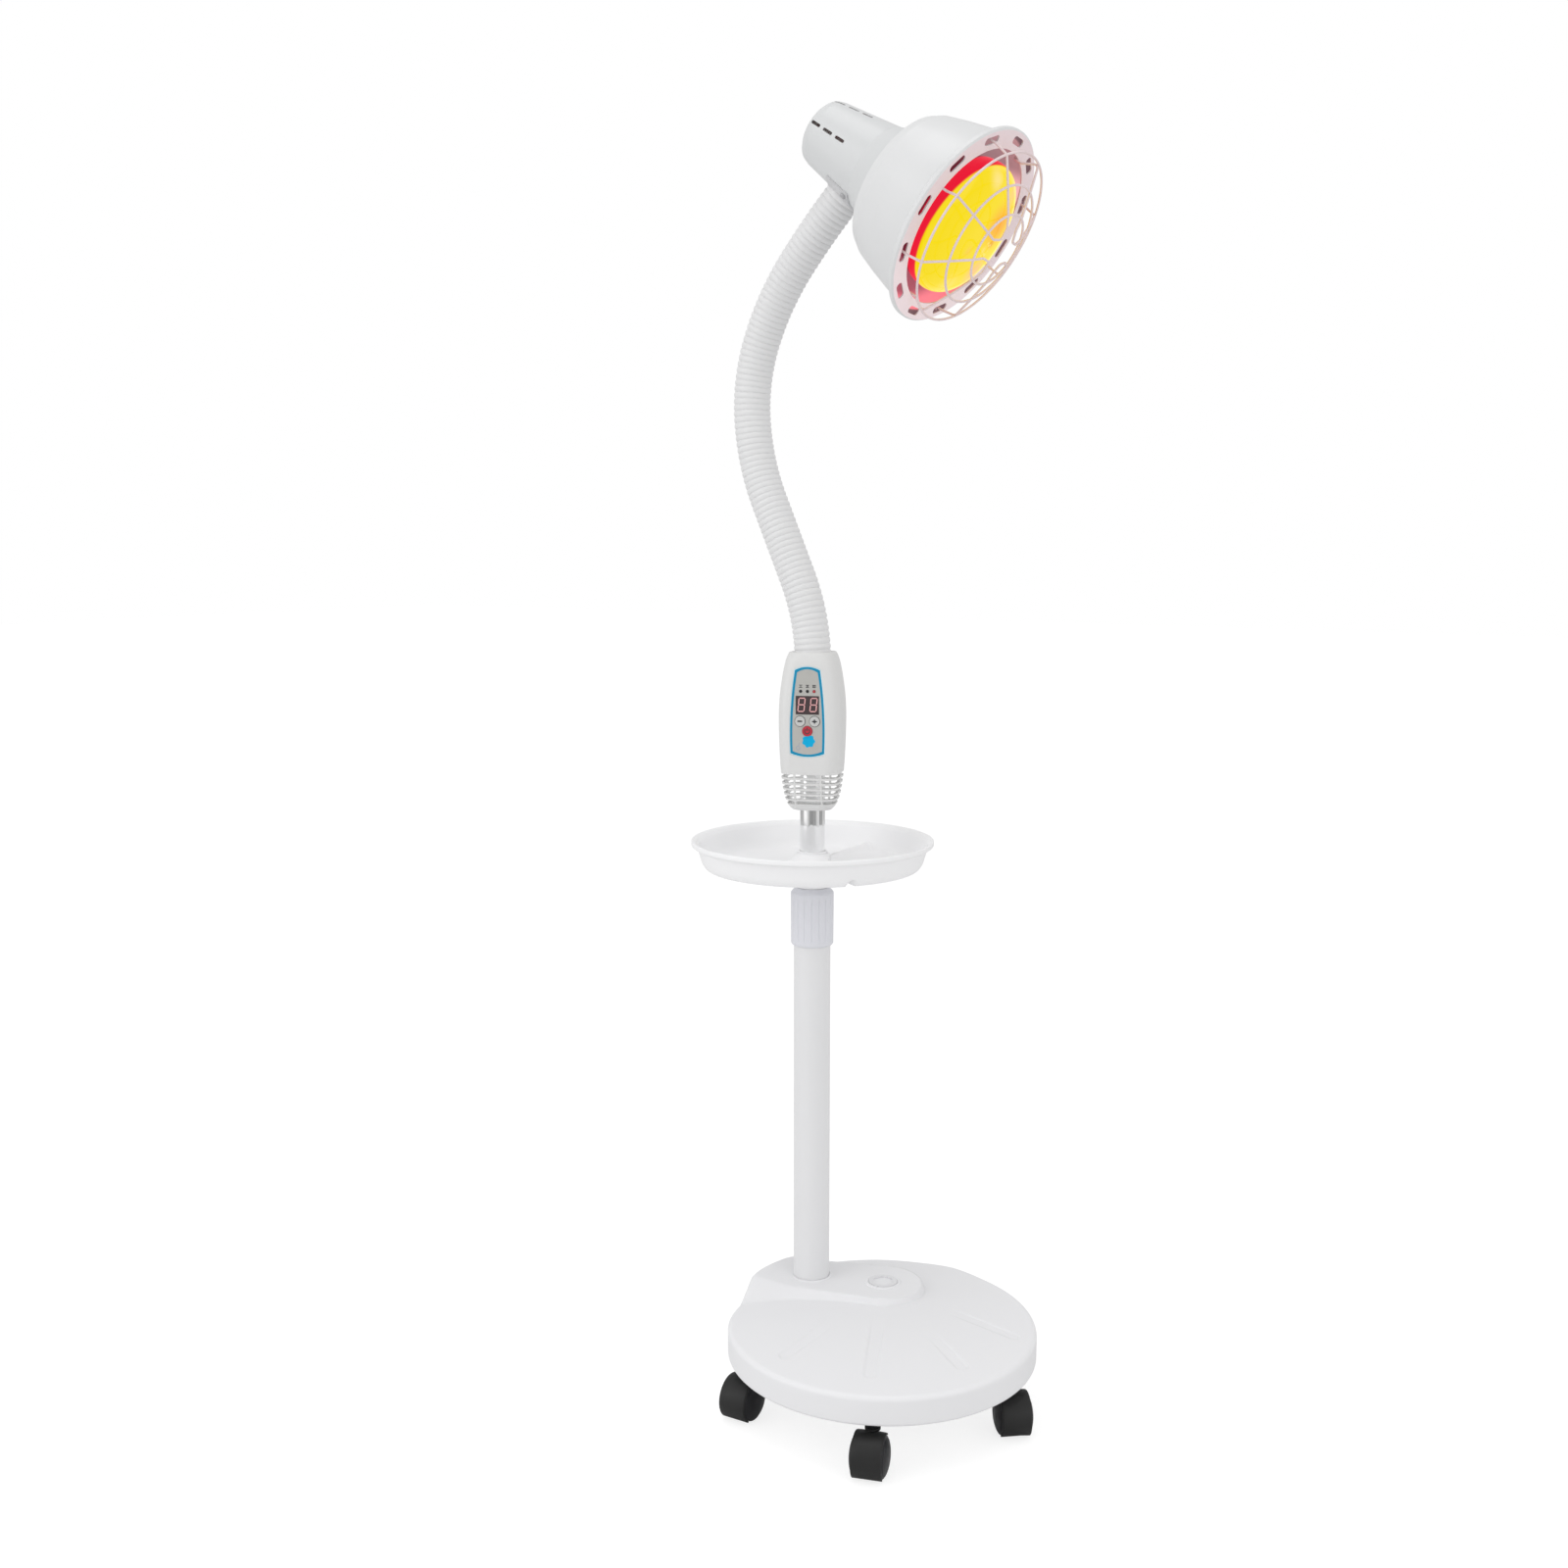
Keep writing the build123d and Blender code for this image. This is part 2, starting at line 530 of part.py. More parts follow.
def tray():
    """Round tray: rolled rim, tapering wall, flat floor, and a divider folded up from below."""
    outer = [(TRAY_RADIUS - 1.0, TRAY_RIM_Z - 6.0), (TRAY_RADIUS, TRAY_RIM_Z - 4.5),
             (TRAY_RADIUS, TRAY_RIM_Z - 0.8), (TRAY_RADIUS - 0.8, TRAY_RIM_Z)]
    wall_top = TRAY_RADIUS - 4.0
    wall_mid = TRAY_RADIUS - 6.0
    wall_low = TRAY_RADIUS - 10.5
    inner = [(wall_top, TRAY_RIM_Z - 1.2), (wall_mid - TRAY_WALL, TRAY_RIM_Z - 7),
             (wall_low - TRAY_WALL, TRAY_BOTTOM + 7), (TRAY_FOOT, TRAY_FLOOR)]
    boss = HUB_RADIUS + SLIP
    boss_top = HUB_TOP - 2
    middle = [(boss + BOSS_WALL, TRAY_FLOOR), (boss + BOSS_WALL, boss_top), (boss, boss_top),
              (boss, TRAY_BOTTOM)]
    below = [(TRAY_FOOT, TRAY_BOTTOM), (TRAY_FOOT + 5.5, TRAY_BOTTOM + 1.8),
             (wall_low, TRAY_BOTTOM + 6.5), (wall_mid, TRAY_RIM_Z - 8),
             (TRAY_RADIUS - 3.0, TRAY_RIM_Z - 6.0)]
    body = spun(outer + inner + middle + below)
    room = rod(wall_low - TRAY_WALL / 2, TRAY_BOTTOM, TRAY_RIM_Z)
    ridge = ridge_band(RIDGE_WIDTH, TRAY_BOTTOM, TRAY_BOTTOM + RIDGE_HEIGHT) & room
    body += ridge - rod(boss, TRAY_BOTTOM, TRAY_RIM_Z)
    groove = ridge_band(RIDGE_WIDTH - 2 * RIDGE_WALL, TRAY_BOTTOM - 1,
                        TRAY_BOTTOM + RIDGE_HEIGHT - RIDGE_WALL)
    return body - (groove - rod(boss + BOSS_WALL, TRAY_BOTTOM - 1, TRAY_RIM_Z))


keep("tray", tray())
hub = rod(HUB_RADIUS, COLLAR_TOP + GAP, HUB_TOP) + rod(HUB_RADIUS + HUB_FOOT, COLLAR_TOP + GAP, TRAY_BOTTOM)
keep("tray_hub", hub - rod(HUB_BORE, COLLAR_TOP, HUB_TOP))


# ---------------------------------------------------------------- control box

BOX = Rot(0, 0, PANEL_AZIMUTH + 90)
BOX_HEIGHT = BOX_SECTIONS[-1][0]
BOX_TOP = BOX_BOTTOM + BOX_HEIGHT
COUPLER_RADIUS = TUBE_RADIUS + COUPLER_WALL
TOP_HOLE = SLEEVE_RADIUS + GAP


def box_body(inset):
    """The box's waisted shape through rounded sections, drawn in by one wall."""
    squeeze = (BOX_HEIGHT - 2 * inset) / BOX_HEIGHT
    sections = []
    for height, half_width, half_depth in BOX_SECTIONS:
        outline = RectangleRounded(2 * (half_width - inset), 2 * (half_depth - inset), BOX_CORNER - inset)
        sections.append(Pos(0, 0, BOX_BOTTOM + inset + height * squeeze) * outline)
    return loft(sections)


def across(radius, x, z, front, back):
    """Cylinder through the box from front to back at (x, z)."""
    return Pos(x, back, z) * Rot(90, 0, 0) * rod(radius, 0, back - front)


def slab(low, high, width=200.0):
    return Pos(0, 0, low) * Box(width, width, high - low, align=(Align.CENTER, Align.CENTER, Align.MIN))


def label_outline(inset):
    """The label's face: narrower at the top, bowed at both ends."""
    low, high = LABEL_BOTTOM + inset + LABEL_BOW, LABEL_TOP - inset - LABEL_BOW
    middle = (LABEL_BOTTOM + LABEL_TOP) / 2
    top, mid, foot = LABEL_HALF_TOP - inset, LABEL_HALF_MID - inset, LABEL_HALF_BOTTOM - inset
    return make_face(ThreePointArc((-top, high), (0, high + LABEL_BOW), (top, high))
                     + ThreePointArc((top, high), (mid - 1.2, middle), (foot, low))
                     + ThreePointArc((foot, low), (0, low - LABEL_BOW), (-foot, low))
                     + ThreePointArc((-foot, low), (1.2 - mid, middle), (-top, high)))


def label_block(inset, front, back):
    """The label's outline carried from one depth to another; depths are measured forwards."""
    return Pos(0, -back, 0) * extrude(Plane.XZ * label_outline(inset), front - back)


def panel_holes(room):
    """Openings through the label and the front shell for what the board carries."""
    width, height = DISPLAY_SIZE
    holes = [Pos(0, -LABEL_Y, DISPLAY_Z) * Box(width + 2 * room, 2 * BOX_WALL + 4, height + 2 * room)]
    for k in (-1, 0, 1):
        holes.append(across(LED_RADIUS + room, k * LED_SPACING, LED_Z, -LABEL_Y - 2, -BOARD_Y))
    for x, z in BUTTON_PLACES.values():
        holes.append(across(BUTTON_RADIUS + GAP, x, z, -LABEL_Y - 2, -BOARD_Y))
    return holes


def screw_places():
    return [(x, z) for x in (-SCREW_X, SCREW_X) for z in SCREW_Z]


outer_box = box_body(0)
inner_box = box_body(BOX_WALL)


def vents():
    """Slots all round the foot of the box, broken by ribs."""
    cuts = []
    for row in range(VENT_ROWS):
        middle = BOX_BOTTOM + VENT_START + VENT_PITCH * row
        cut = slab(middle - VENT_HEIGHT / 2, middle + VENT_HEIGHT / 2)
        for x in (-RIB_OFFSET, RIB_OFFSET):
            cut -= Pos(x, 0, middle) * Box(RIB_WIDTH, 200, VENT_HEIGHT)
        cuts.append(cut - Pos(0, 0, middle) * Box(200, SIDE_RIB, VENT_HEIGHT))
    return cuts


def box_shells():
    """Both halves in one: wall, vents, clamps round the tube and coupler, and screw bosses."""
    inside = slab(CLAMP_Z - CLAMP_HEIGHT / 2, CLAMP_Z + CLAMP_HEIGHT / 2)
    inside -= rod(TUBE_RADIUS + SLIP, BOX_BOTTOM, BOX_TOP)
    collar_low = BOX_TOP - BOX_WALL - 3 * CLAMP_HEIGHT
    inside += slab(collar_low, collar_low + CLAMP_HEIGHT) - rod(COUPLER_RADIUS + SLIP, BOX_BOTTOM, BOX_TOP)
    inside += [across(BOSS_RADIUS, x, z, -40, 40) for x, z in screw_places()]
    body = (outer_box - inner_box - vents()) + (inside & box_body(BOX_WALL / 2))
    holes = [rod(TUBE_RADIUS + GAP, BOX_BOTTOM - 1, BOX_BOTTOM + TUBE_PASSAGE),
             rod(TOP_HOLE, BOX_TOP - BOX_WALL - 1, BOX_TOP + 1),
             label_block(-SLIP, LABEL_Y + 5, LABEL_Y - LABEL_THICK),
             across(GLAND_NECK + SLIP, GLAND_X, GLAND_Z, GLAND_INSIDE - 2, 40)]
    for x, z in screw_places():
        holes.append(across(SCREW_RADIUS + SLIP / 2, x, z, SCREW_END_Y, SCREW_HEAD_Y))
        holes.append(across(SCREW_HEAD + GAP, x, z, SCREW_HEAD_Y, 40))
    return body - holes - panel_holes(SLIP)


shells = box_shells()
front_half = Pos(0, -100, BOX_BOTTOM) * Box(200, 200, 400)
keep("control_box_front", BOX * (shells & front_half))
keep("control_box_rear", BOX * (shells - front_half))
label = label_block(0, LABEL_Y, LABEL_Y - LABEL_THICK)
keep("panel_label", BOX * (label - panel_holes(SLIP)))

width, height = DISPLAY_SIZE
depth = LABEL_Y - WINDOW_SUNK - BOARD_Y
keep("display", BOX * Pos(0, -BOARD_Y - depth / 2, DISPLAY_Z) * Box(width, depth, height))
keep("status_leds", *[BOX * across(LED_RADIUS, k * LED_SPACING, LED_Z, -LABEL_Y - LED_PROUD, -BOARD_Y)
                      for k in (-1, 0, 1)])


def circuit_board():
    """Board with its three tact switches, each a square block with a round plunger."""
    body = Pos(0, -BOARD_Y + BOARD_THICK / 2, BOARD_Z) * Box(BOARD_SIZE[0], BOARD_THICK, BOARD_SIZE[1])
    button_back = LABEL_Y + BUTTON_PROUD - BUTTON_LENGTH
    plunger = button_back - BUTTON_TRAVEL - PLUNGER_ROOM
    switch_front = plunger - PLUNGER_LENGTH
    for x, z in BUTTON_PLACES.values():
        switch = Box(SWITCH_SIZE, switch_front - BOARD_Y, SWITCH_SIZE)
        body += Pos(x, -(BOARD_Y + switch_front) / 2, z) * switch
        body += across(PLUNGER_RADIUS, x, z, -plunger, -BOARD_Y)
    return body


keep("circuit_board", BOX * circuit_board())
for name, (x, z) in BUTTON_PLACES.items():
    front = LABEL_Y + BUTTON_PROUD
    keep(name, BOX * across(BUTTON_RADIUS, x, z, -front, BUTTON_LENGTH - front))


def box_screw(x, z):
    """Pan-head screw with a cross recess, from the back."""
    head = across(SCREW_HEAD, x, z, SCREW_HEAD_Y, SCREW_HEAD_Y + 2)
    for angle in (0, 90):
        head -= Pos(x, SCREW_HEAD_Y + 1.7, z) * Rot(0, angle, 0) * Box(3.4, 1.2, 0.7)
    return head + across(SCREW_RADIUS, x, z, SCREW_END_Y, SCREW_HEAD_Y)


keep("box_screws", *[BOX * box_screw(x, z) for x, z in screw_places()])


def cable_gland():
    """Bush in the rear shell: a domed nut outside, a neck through the wall, a clear bore."""
    body = across(GLAND_NECK, GLAND_X, GLAND_Z, GLAND_INSIDE, GLAND_NUT)
    body += across(GLAND_FLANGE, GLAND_X, GLAND_Z, GLAND_NUT, GLAND_NUT + 2)
    body += across(GLAND_FLANGE - 1.4, GLAND_X, GLAND_Z, GLAND_NUT + 2, GLAND_OUTSIDE)
    return body - across(GLAND_BORE, GLAND_X, GLAND_Z, GLAND_INSIDE, GLAND_OUTSIDE)


keep("cable_gland", BOX * cable_gland())

# ---------------------------------------------------------------- gooseneck

def neck_stops():
    """Ends of the arcs: (x, z, heading in degrees), the first where the neck leaves the box."""
    stops = [(0.0, NECK_START_Z, NECK_HEADING)]
    for turn in NECK_TURNS:
        x, z, heading = stops[-1]
        stops.append(along(x, z, heading, turn, NECK_STEP) + (heading + turn,))
    return stops


def along(x, z, heading, turn, length):
    """Point reached by an arc of one length that turns by one angle."""
    middle = radians(heading + turn / 2)
    half = radians(turn / 2)
    chord = length if turn == 0 else length * sin(half) / half
    return (x + chord * sin(middle), z + chord * cos(middle))


STOPS = neck_stops()


def neck_path(k):
    x, z, heading = STOPS[k]
    turn = NECK_TURNS[k]
    end_x, end_z, _ = STOPS[k + 1]
    if turn == 0:
        return Line((x, 0, z), (end_x, 0, end_z))
    mid_x, mid_z = along(x, z, heading, turn / 2, NECK_STEP / 2)
    return ThreePointArc((x, 0, z), (mid_x, 0, mid_z), (end_x, 0, end_z))


def neck_frame(x, z, heading):
    """Plane across the neck at one stop, its normal along the neck."""
    slope = radians(heading)
    return Plane(origin=(x, 0, z), x_dir=(0, 1, 0), z_dir=(sin(slope), 0, cos(slope)))


CORE_BORE = CORE_RADIUS - CORE_WALL
coupler = rod(COUPLER_RADIUS, TUBE_TOP - COUPLER_LENGTH, NECK_START_Z + 2)
coupler -= rod(TUBE_RADIUS, TUBE_TOP - COUPLER_LENGTH, TUBE_TOP)
coupler -= rod(CORE_BORE, TUBE_TOP, NECK_START_Z + 2)
keep("neck_coupler", coupler - Location(neck_frame(*STOPS[0])) * rod(2 * COUPLER_RADIUS, 0, 10))


def neck_tube(k, outer, inner):
    """One length of tube, with a spherical rim beyond its far stop and a hollow one at its near stop."""
    start = neck_frame(*STOPS[k])
    end = neck_frame(*STOPS[k + 1])
    path = neck_path(k)
    ball = outer + BALL_ROOM
    body = sweep(start * Circle(outer), path) - sweep(start * Circle(inner), path)
    if k < len(NECK_TURNS) - 1:
        rim = Location(end) * pipe(outer, inner, 0, ball)
        body += rim & (Pos(STOPS[k + 1][0], 0, STOPS[k + 1][1]) * Sphere(ball))
    else:
        body += Location(end) * pipe(outer, inner, 0, NECK_CUFF)
    if k > 0:
        body -= Pos(STOPS[k][0], 0, STOPS[k][1]) * Sphere(ball + GAP)
    return body


def ring_grooves(k):
    """Round grooves between the sleeve's rings, one after each share of the arc."""
    grooves = []
    x, z, heading = STOPS[k]
    plain = 2 if k == len(NECK_TURNS) - 1 else 0
    for i in range(RING_COUNT - plain):
        share = (i + 0.5) / RING_COUNT
        at = along(x, z, heading, NECK_TURNS[k] * share, NECK_STEP * share)
        plane = neck_frame(at[0], at[1], heading + NECK_TURNS[k] * share)
        grooves.append(Location(plane) * Torus(SLEEVE_RADIUS + RING_GROOVE - RING_DEPTH, RING_GROOVE))
    return grooves


# ---------------------------------------------------------------- lamp head

tilt = radians(HEAD_TILT)
HEAD = Location(Plane(origin=(HEAD_REACH, 0, HEAD_Z), x_dir=(sin(tilt), 0, cos(tilt)),
                      z_dir=(-cos(tilt), 0, sin(tilt))))
HOUSING_OUTLINE = [(HOUSING_FRONT, BELL_LENGTH), (41.2, 105.0), (36.2, 140.0), (HOUSING_BACK, 170.0),
                   (HOUSING_BACK - 1.8, 176.0), (HOUSING_BACK - 5.2, HOUSING_END), (0, HOUSING_END)]


def housing_radius(s):
    """Outside radius of the housing at one distance back."""
    for (r0, s0), (r1, s1) in zip(HOUSING_OUTLINE, HOUSING_OUTLINE[1:]):
        if s0 <= s <= s1:
            return r0 + (r1 - r0) * (s - s0) / (s1 - s0)
    return 0.0


def housing_solid(extra):
    """The housing's outside as a solid, grown by one thickness."""
    points = [(r + extra, s) for r, s in HOUSING_OUTLINE[:-1]] + [(0, HOUSING_END)]
    return spun([(0, BELL_LENGTH)] + points)


for k in range(len(NECK_TURNS)):
    sleeve = neck_tube(k, SLEEVE_RADIUS, SLEEVE_RADIUS - SLEEVE_WALL) - ring_grooves(k)
    core = neck_tube(k, CORE_RADIUS, CORE_BORE)
    if k == len(NECK_TURNS) - 1:
        sleeve -= HEAD * housing_solid(GAP / 3 + BRACKET_THICK + SLIP)
        core -= HEAD * housing_solid(0)
    keep("neck_sleeve_" + str(k + 1), sleeve)
    keep("neck_core_" + str(k + 1), core)


def bell():
    """Pressed bell: slotted flange with a rolled lip, tapering side and a flat back ring."""
    run = [(MOUTH_RADIUS, 0), (FLANGE_RADIUS - 1.5, 0), (FLANGE_RADIUS, 1.5),
           (FLANGE_RADIUS, FLANGE_LIP - 1.5), (FLANGE_RADIUS - 2, FLANGE_LIP),
           (BELL_FRONT_RADIUS, FLANGE_LIP + 1), (77.5, 45.0), (BELL_BACK_RADIUS, 66.0),
           (66.5, 75.0), (59.0, 79.2), (53.0, BELL_LENGTH), (BELL_THROAT, BELL_LENGTH)]
    body = spun(wall_outline(run, SHEET))
    slot = extrude(RectangleRounded(SLOT_WIDTH, SLOT_LENGTH, SLOT_WIDTH / 2 - 0.3), 2 * SHEET + 0.4)
    slot = Pos(SLOT_RADIUS, 0, -SHEET / 2) * slot
    return body - [Rot(0, 0, SLOT_AZIMUTH + 360.0 / SLOT_COUNT * k) * slot for k in range(SLOT_COUNT)]


def lamp_housing():
    """Tapering rear housing with rows of short slots and an opening for the neck."""
    body = spun(wall_outline(HOUSING_OUTLINE, HOUSING_WALL)) - rod(FLANGE_RADIUS, 0, BELL_LENGTH)
    slot = extrude(RectangleRounded(VENT_SIZE[0], VENT_SIZE[1], VENT_SIZE[1] / 2 - 0.1), 20)
    slots = []
    for line in range(VENT_LINES):
        turn = Rot(0, 0, VENT_AZIMUTH + VENT_TURN * line)
        slots += [turn * Pos(HOUSING_BACK - 10, 0, place) * Rot(0, 90, 0) * slot for place in VENT_PLACES]
    return body - slots


def neck_passage(radius):
    """Cylinder along the end of the gooseneck."""
    return Location(neck_frame(*STOPS[-1])) * rod(radius, -25, 30)


def guard_leg(azimuth):
    """One bent wire: hooked in a slot, in over the rings, round the eye and out to the mouth's edge."""
    def at(radius, s, turn):
        angle = radians(turn)
        return (radius * cos(angle), radius * sin(angle), s)

    other = azimuth - LEG_SPREAD
    inward = [at(r, s, azimuth) for r, s in GUARD_RINGS]
    outward = [at(r, s, other) for r, s in reversed(GUARD_RINGS)]
    eye_r, eye_s = GUARD_EYE
    edge = MOUTH_RADIUS - GUARD_WIRE - SLIP
    points = ([at(SLOT_RADIUS + 4, GUARD_HOOK, azimuth), at(SLOT_RADIUS, GUARD_HOOK, azimuth),
               at(SLOT_RADIUS, -4, azimuth)] + inward
              + [at(eye_r, eye_s, azimuth), at(eye_r * 0.66, eye_s - 1.5, azimuth - LEG_SPREAD / 2),
                 at(eye_r, eye_s, other)] + outward
              + [at(edge, -4, other), at(edge, GUARD_HOOK, other), at(edge + 4, GUARD_HOOK, other)])
    radii = [1.6, 3, 6, 20, 20, 5, 4, 5, 20, 20, 4, 3, 1.6]
    path = FilletPolyline(*points, radius=radii)
    start = Plane(origin=path @ 0, z_dir=path % 0)
    return sweep(start * Circle(GUARD_WIRE), path, transition=Transition.ROUND)


def guard():
    """Welded guard: three rings on four bent wires."""
    body = Pos(0, 0, GUARD_RINGS[0][1]) * Torus(GUARD_RINGS[0][0], GUARD_WIRE)
    for radius, s in GUARD_RINGS[1:]:
        body += Pos(0, 0, s) * Torus(radius, GUARD_WIRE)
    for k in range(LEG_COUNT):
        body += guard_leg(LEG_AZIMUTH + 360.0 / LEG_COUNT * k)
    return body


def bulb():
    """Reflector bulb: crowned face, round shoulder and a cone down to the neck, all thin glass."""
    run = [(0, 0), (22, 0.7), (42, 3.6), (54, 8.0), (60.5, 14.0), (BULB_RADIUS, 22.0), (61.0, 34.0),
           (53.0, 51.0), (41.0, 73.0), (30.0, 96.0), (21.5, 120.0), (BULB_NECK, 143.0),
           (CAP_RADIUS, BULB_LENGTH)]
    return Pos(0, 0, -BULB_FACE) * spun(wall_outline(run, BULB_GLASS))


bracket_run = [(housing_radius(s) + GAP / 3, s) for s in BRACKET_SPAN]
bracket = spun(wall_outline(bracket_run, -BRACKET_THICK), 2 * BRACKET_HALF_ANGLE)
bracket = Rot(0, 0, 180 - BRACKET_HALF_ANGLE) * bracket


def screw_seat(side):
    """Where a bracket screw stands: on the housing, square to its slope."""
    place, angle = BRACKET_SCREW
    slope = degrees(atan2(housing_radius(place - 1) - housing_radius(place + 1), 2))
    return Rot(0, 0, 180 + side * angle) * Pos(housing_radius(place), 0, place) * Rot(0, 90 - slope, 0)


def bracket_screw(side):
    """Round-head screw through the bracket into the housing."""
    seat = GAP / 3 + BRACKET_THICK
    head = rod(BRACKET_SCREW_HEAD, seat, seat + 1.6)
    return screw_seat(side) * (head + rod(BRACKET_SCREW_RADIUS, -6, seat))


screw_holes = [screw_seat(side) * rod(BRACKET_SCREW_RADIUS + SLIP, -10, 10) for side in (-1, 1)]
passage = neck_passage(CORE_RADIUS + GAP)
keep("bell", HEAD * bell())
keep("lamp_housing", HEAD * (lamp_housing() - screw_holes) - neck_passage(CORE_BORE))
keep("neck_bracket", HEAD * (bracket - screw_holes) - passage)
keep("bracket_screws", HEAD * bracket_screw(-1), HEAD * bracket_screw(1))
keep("guard", HEAD * guard())
keep("bulb", HEAD * bulb())

CAP_START = BULB_LENGTH - BULB_FACE
CAP_END = CAP_START + CAP_LENGTH
cap = spun([(CAP_RADIUS - 1, CAP_START), (CAP_RADIUS, CAP_START + 1.5), (CAP_RADIUS, CAP_END - 4),
            (CAP_RADIUS - 5, CAP_END), (4, CAP_END), (4, CAP_END + 1.5), (0, CAP_END + 1.5), (0, CAP_START)])
keep("bulb_cap", HEAD * cap)

holder_start = CAP_START + HOLDER_OFFSET
holder_end = HOUSING_END - HOUSING_WALL
holder = rod(HOLDER_RADIUS, holder_start, holder_end) + rod(HOLDER_RIM, holder_end - 5, holder_end)
holder -= rod(CAP_RADIUS + GAP, holder_start, CAP_END + 2)
keep("lamp_holder", HEAD * holder)
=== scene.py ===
import bmesh
import bpy
import numpy as np
from mathutils import Matrix, Vector


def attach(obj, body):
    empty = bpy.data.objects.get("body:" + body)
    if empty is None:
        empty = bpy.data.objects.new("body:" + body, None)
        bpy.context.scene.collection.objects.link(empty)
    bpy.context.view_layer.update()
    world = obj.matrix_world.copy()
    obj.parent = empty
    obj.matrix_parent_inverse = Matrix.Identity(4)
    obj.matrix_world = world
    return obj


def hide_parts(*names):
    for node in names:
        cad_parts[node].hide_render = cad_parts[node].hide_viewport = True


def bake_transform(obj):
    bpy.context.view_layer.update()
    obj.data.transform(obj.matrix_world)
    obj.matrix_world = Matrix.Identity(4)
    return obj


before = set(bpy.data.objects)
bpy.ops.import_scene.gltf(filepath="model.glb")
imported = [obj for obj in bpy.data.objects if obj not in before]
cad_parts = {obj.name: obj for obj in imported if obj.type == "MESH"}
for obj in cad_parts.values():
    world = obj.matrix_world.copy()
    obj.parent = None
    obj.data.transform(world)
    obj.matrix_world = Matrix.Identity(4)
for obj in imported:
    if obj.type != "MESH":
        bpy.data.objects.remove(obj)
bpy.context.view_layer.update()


# ---------------------------------------------------------------- where the lamp is seen from
# The eye is 0.84 m above the floor, in front of the lamp and to its right, and looks slightly down.

EYE = (0.8785, -1.4311, 0.838)
EYE_TURN, EYE_DROP = np.radians(32.5), np.radians(8.2)

level_sight = np.array((-np.sin(EYE_TURN), np.cos(EYE_TURN), 0.0))
sight = level_sight * np.cos(EYE_DROP) - np.array((0, 0, np.sin(EYE_DROP)))
camera = bpy.data.objects.new("camera", bpy.data.cameras.new("camera"))
bpy.context.collection.objects.link(camera)
bpy.context.scene.camera = camera
camera.data.sensor_width = 36
camera.data.lens = 39.69
camera.location = EYE
camera.rotation_mode = "QUATERNION"
camera.rotation_quaternion = Vector(sight).to_track_quat("-Z", "Y")
bpy.context.scene.view_settings.view_transform = "Standard"


# ---------------------------------------------------------------- light
# A white studio: an even white surround, a broad soft box high on the left, one overhead and two
# weaker ones low on the left and right, over a plain white floor.

world = bpy.data.worlds.new("white surround")
bpy.context.scene.world = world
world.use_nodes = True
sky = world.node_tree
surround = sky.nodes["Background"]
surround.inputs["Color"].default_value = (1.0, 1.0, 1.0, 1)
surround.inputs["Strength"].default_value = 0.715
seen = sky.nodes.new("ShaderNodeBackground")
seen.inputs["Color"].default_value = (1.0, 1.0, 1.0, 1)
seen.inputs["Strength"].default_value = 1.0
which = sky.nodes.new("ShaderNodeMixShader")
ray = sky.nodes.new("ShaderNodeLightPath")
sky.links.new(ray.outputs["Is Camera Ray"], which.inputs["Fac"])
sky.links.new(surround.outputs["Background"], which.inputs[1])
sky.links.new(seen.outputs["Background"], which.inputs[2])
sky.links.new(which.outputs["Shader"], sky.nodes["World Output"].inputs["Surface"])


def soft_box(name, place, target, size, watts):
    """A square lamp of one size, turned from its place towards its target."""
    lamp = bpy.data.objects.new(name, bpy.data.lights.new(name, "AREA"))
    lamp.data.size = size
    lamp.data.energy = watts
    lamp.location = place
    aim = Vector(target) - Vector(place)
    lamp.rotation_euler = aim.to_track_quat("-Z", "Y").to_euler()
    bpy.context.collection.objects.link(lamp)


soft_box("soft_box_left", (-1.4, -3.0, 2.6), (0.05, 0, 0.6), 2.6, 22)
soft_box("soft_box_low", (-2.0, -2.4, 0.8), (0.1, 0, 1.1), 1.8, 11)
soft_box("soft_box_right", (2.9, -0.9, 1.4), (0.05, 0, 0.6), 2.2, 14)
soft_box("soft_box_top", (0.1, -0.5, 6.0), (0.1, 0, 0.3), 3.5, 52)

# The plain white floor. It takes only a faint shadow of the lamp.
FLOOR_HALF = 14.0
corners = np.array([(-1, -1, 0), (1, -1, 0), (1, 1, 0), (-1, 1, 0)]) * FLOOR_HALF
floor_mesh = bpy.data.meshes.new("floor")
floor_mesh.from_pydata(corners.tolist(), [], [(0, 1, 2, 3)])
floor = bpy.data.objects.new("floor", floor_mesh)
bpy.context.collection.objects.link(floor)
floor_paint = bpy.data.materials.new("floor white")
floor_paint.use_nodes = True
paint = floor_paint.node_tree
bounce = paint.nodes["Principled BSDF"]
bounce.inputs["Base Color"].default_value = (0.80, 0.80, 0.80, 1)
bounce.inputs["Roughness"].default_value = 0.9
bounce.inputs["Specular IOR Level"].default_value = 0.0
faint = paint.nodes.new("ShaderNodeBsdfDiffuse")
faint.inputs["Color"].default_value = (0.34, 0.34, 0.34, 1)
glow = paint.nodes.new("ShaderNodeEmission")
glow.inputs["Strength"].default_value = 0.78
both = paint.nodes.new("ShaderNodeAddShader")
choice = paint.nodes.new("ShaderNodeMixShader")
floor_ray = paint.nodes.new("ShaderNodeLightPath")
paint.links.new(faint.outputs["BSDF"], both.inputs[0])
paint.links.new(glow.outputs["Emission"], both.inputs[1])
paint.links.new(floor_ray.outputs["Is Camera Ray"], choice.inputs["Fac"])
paint.links.new(bounce.outputs["BSDF"], choice.inputs[1])
paint.links.new(both.outputs["Shader"], choice.inputs[2])
paint.links.new(choice.outputs["Shader"], paint.nodes["Material Output"].inputs["Surface"])
floor_mesh.materials.append(floor_paint)


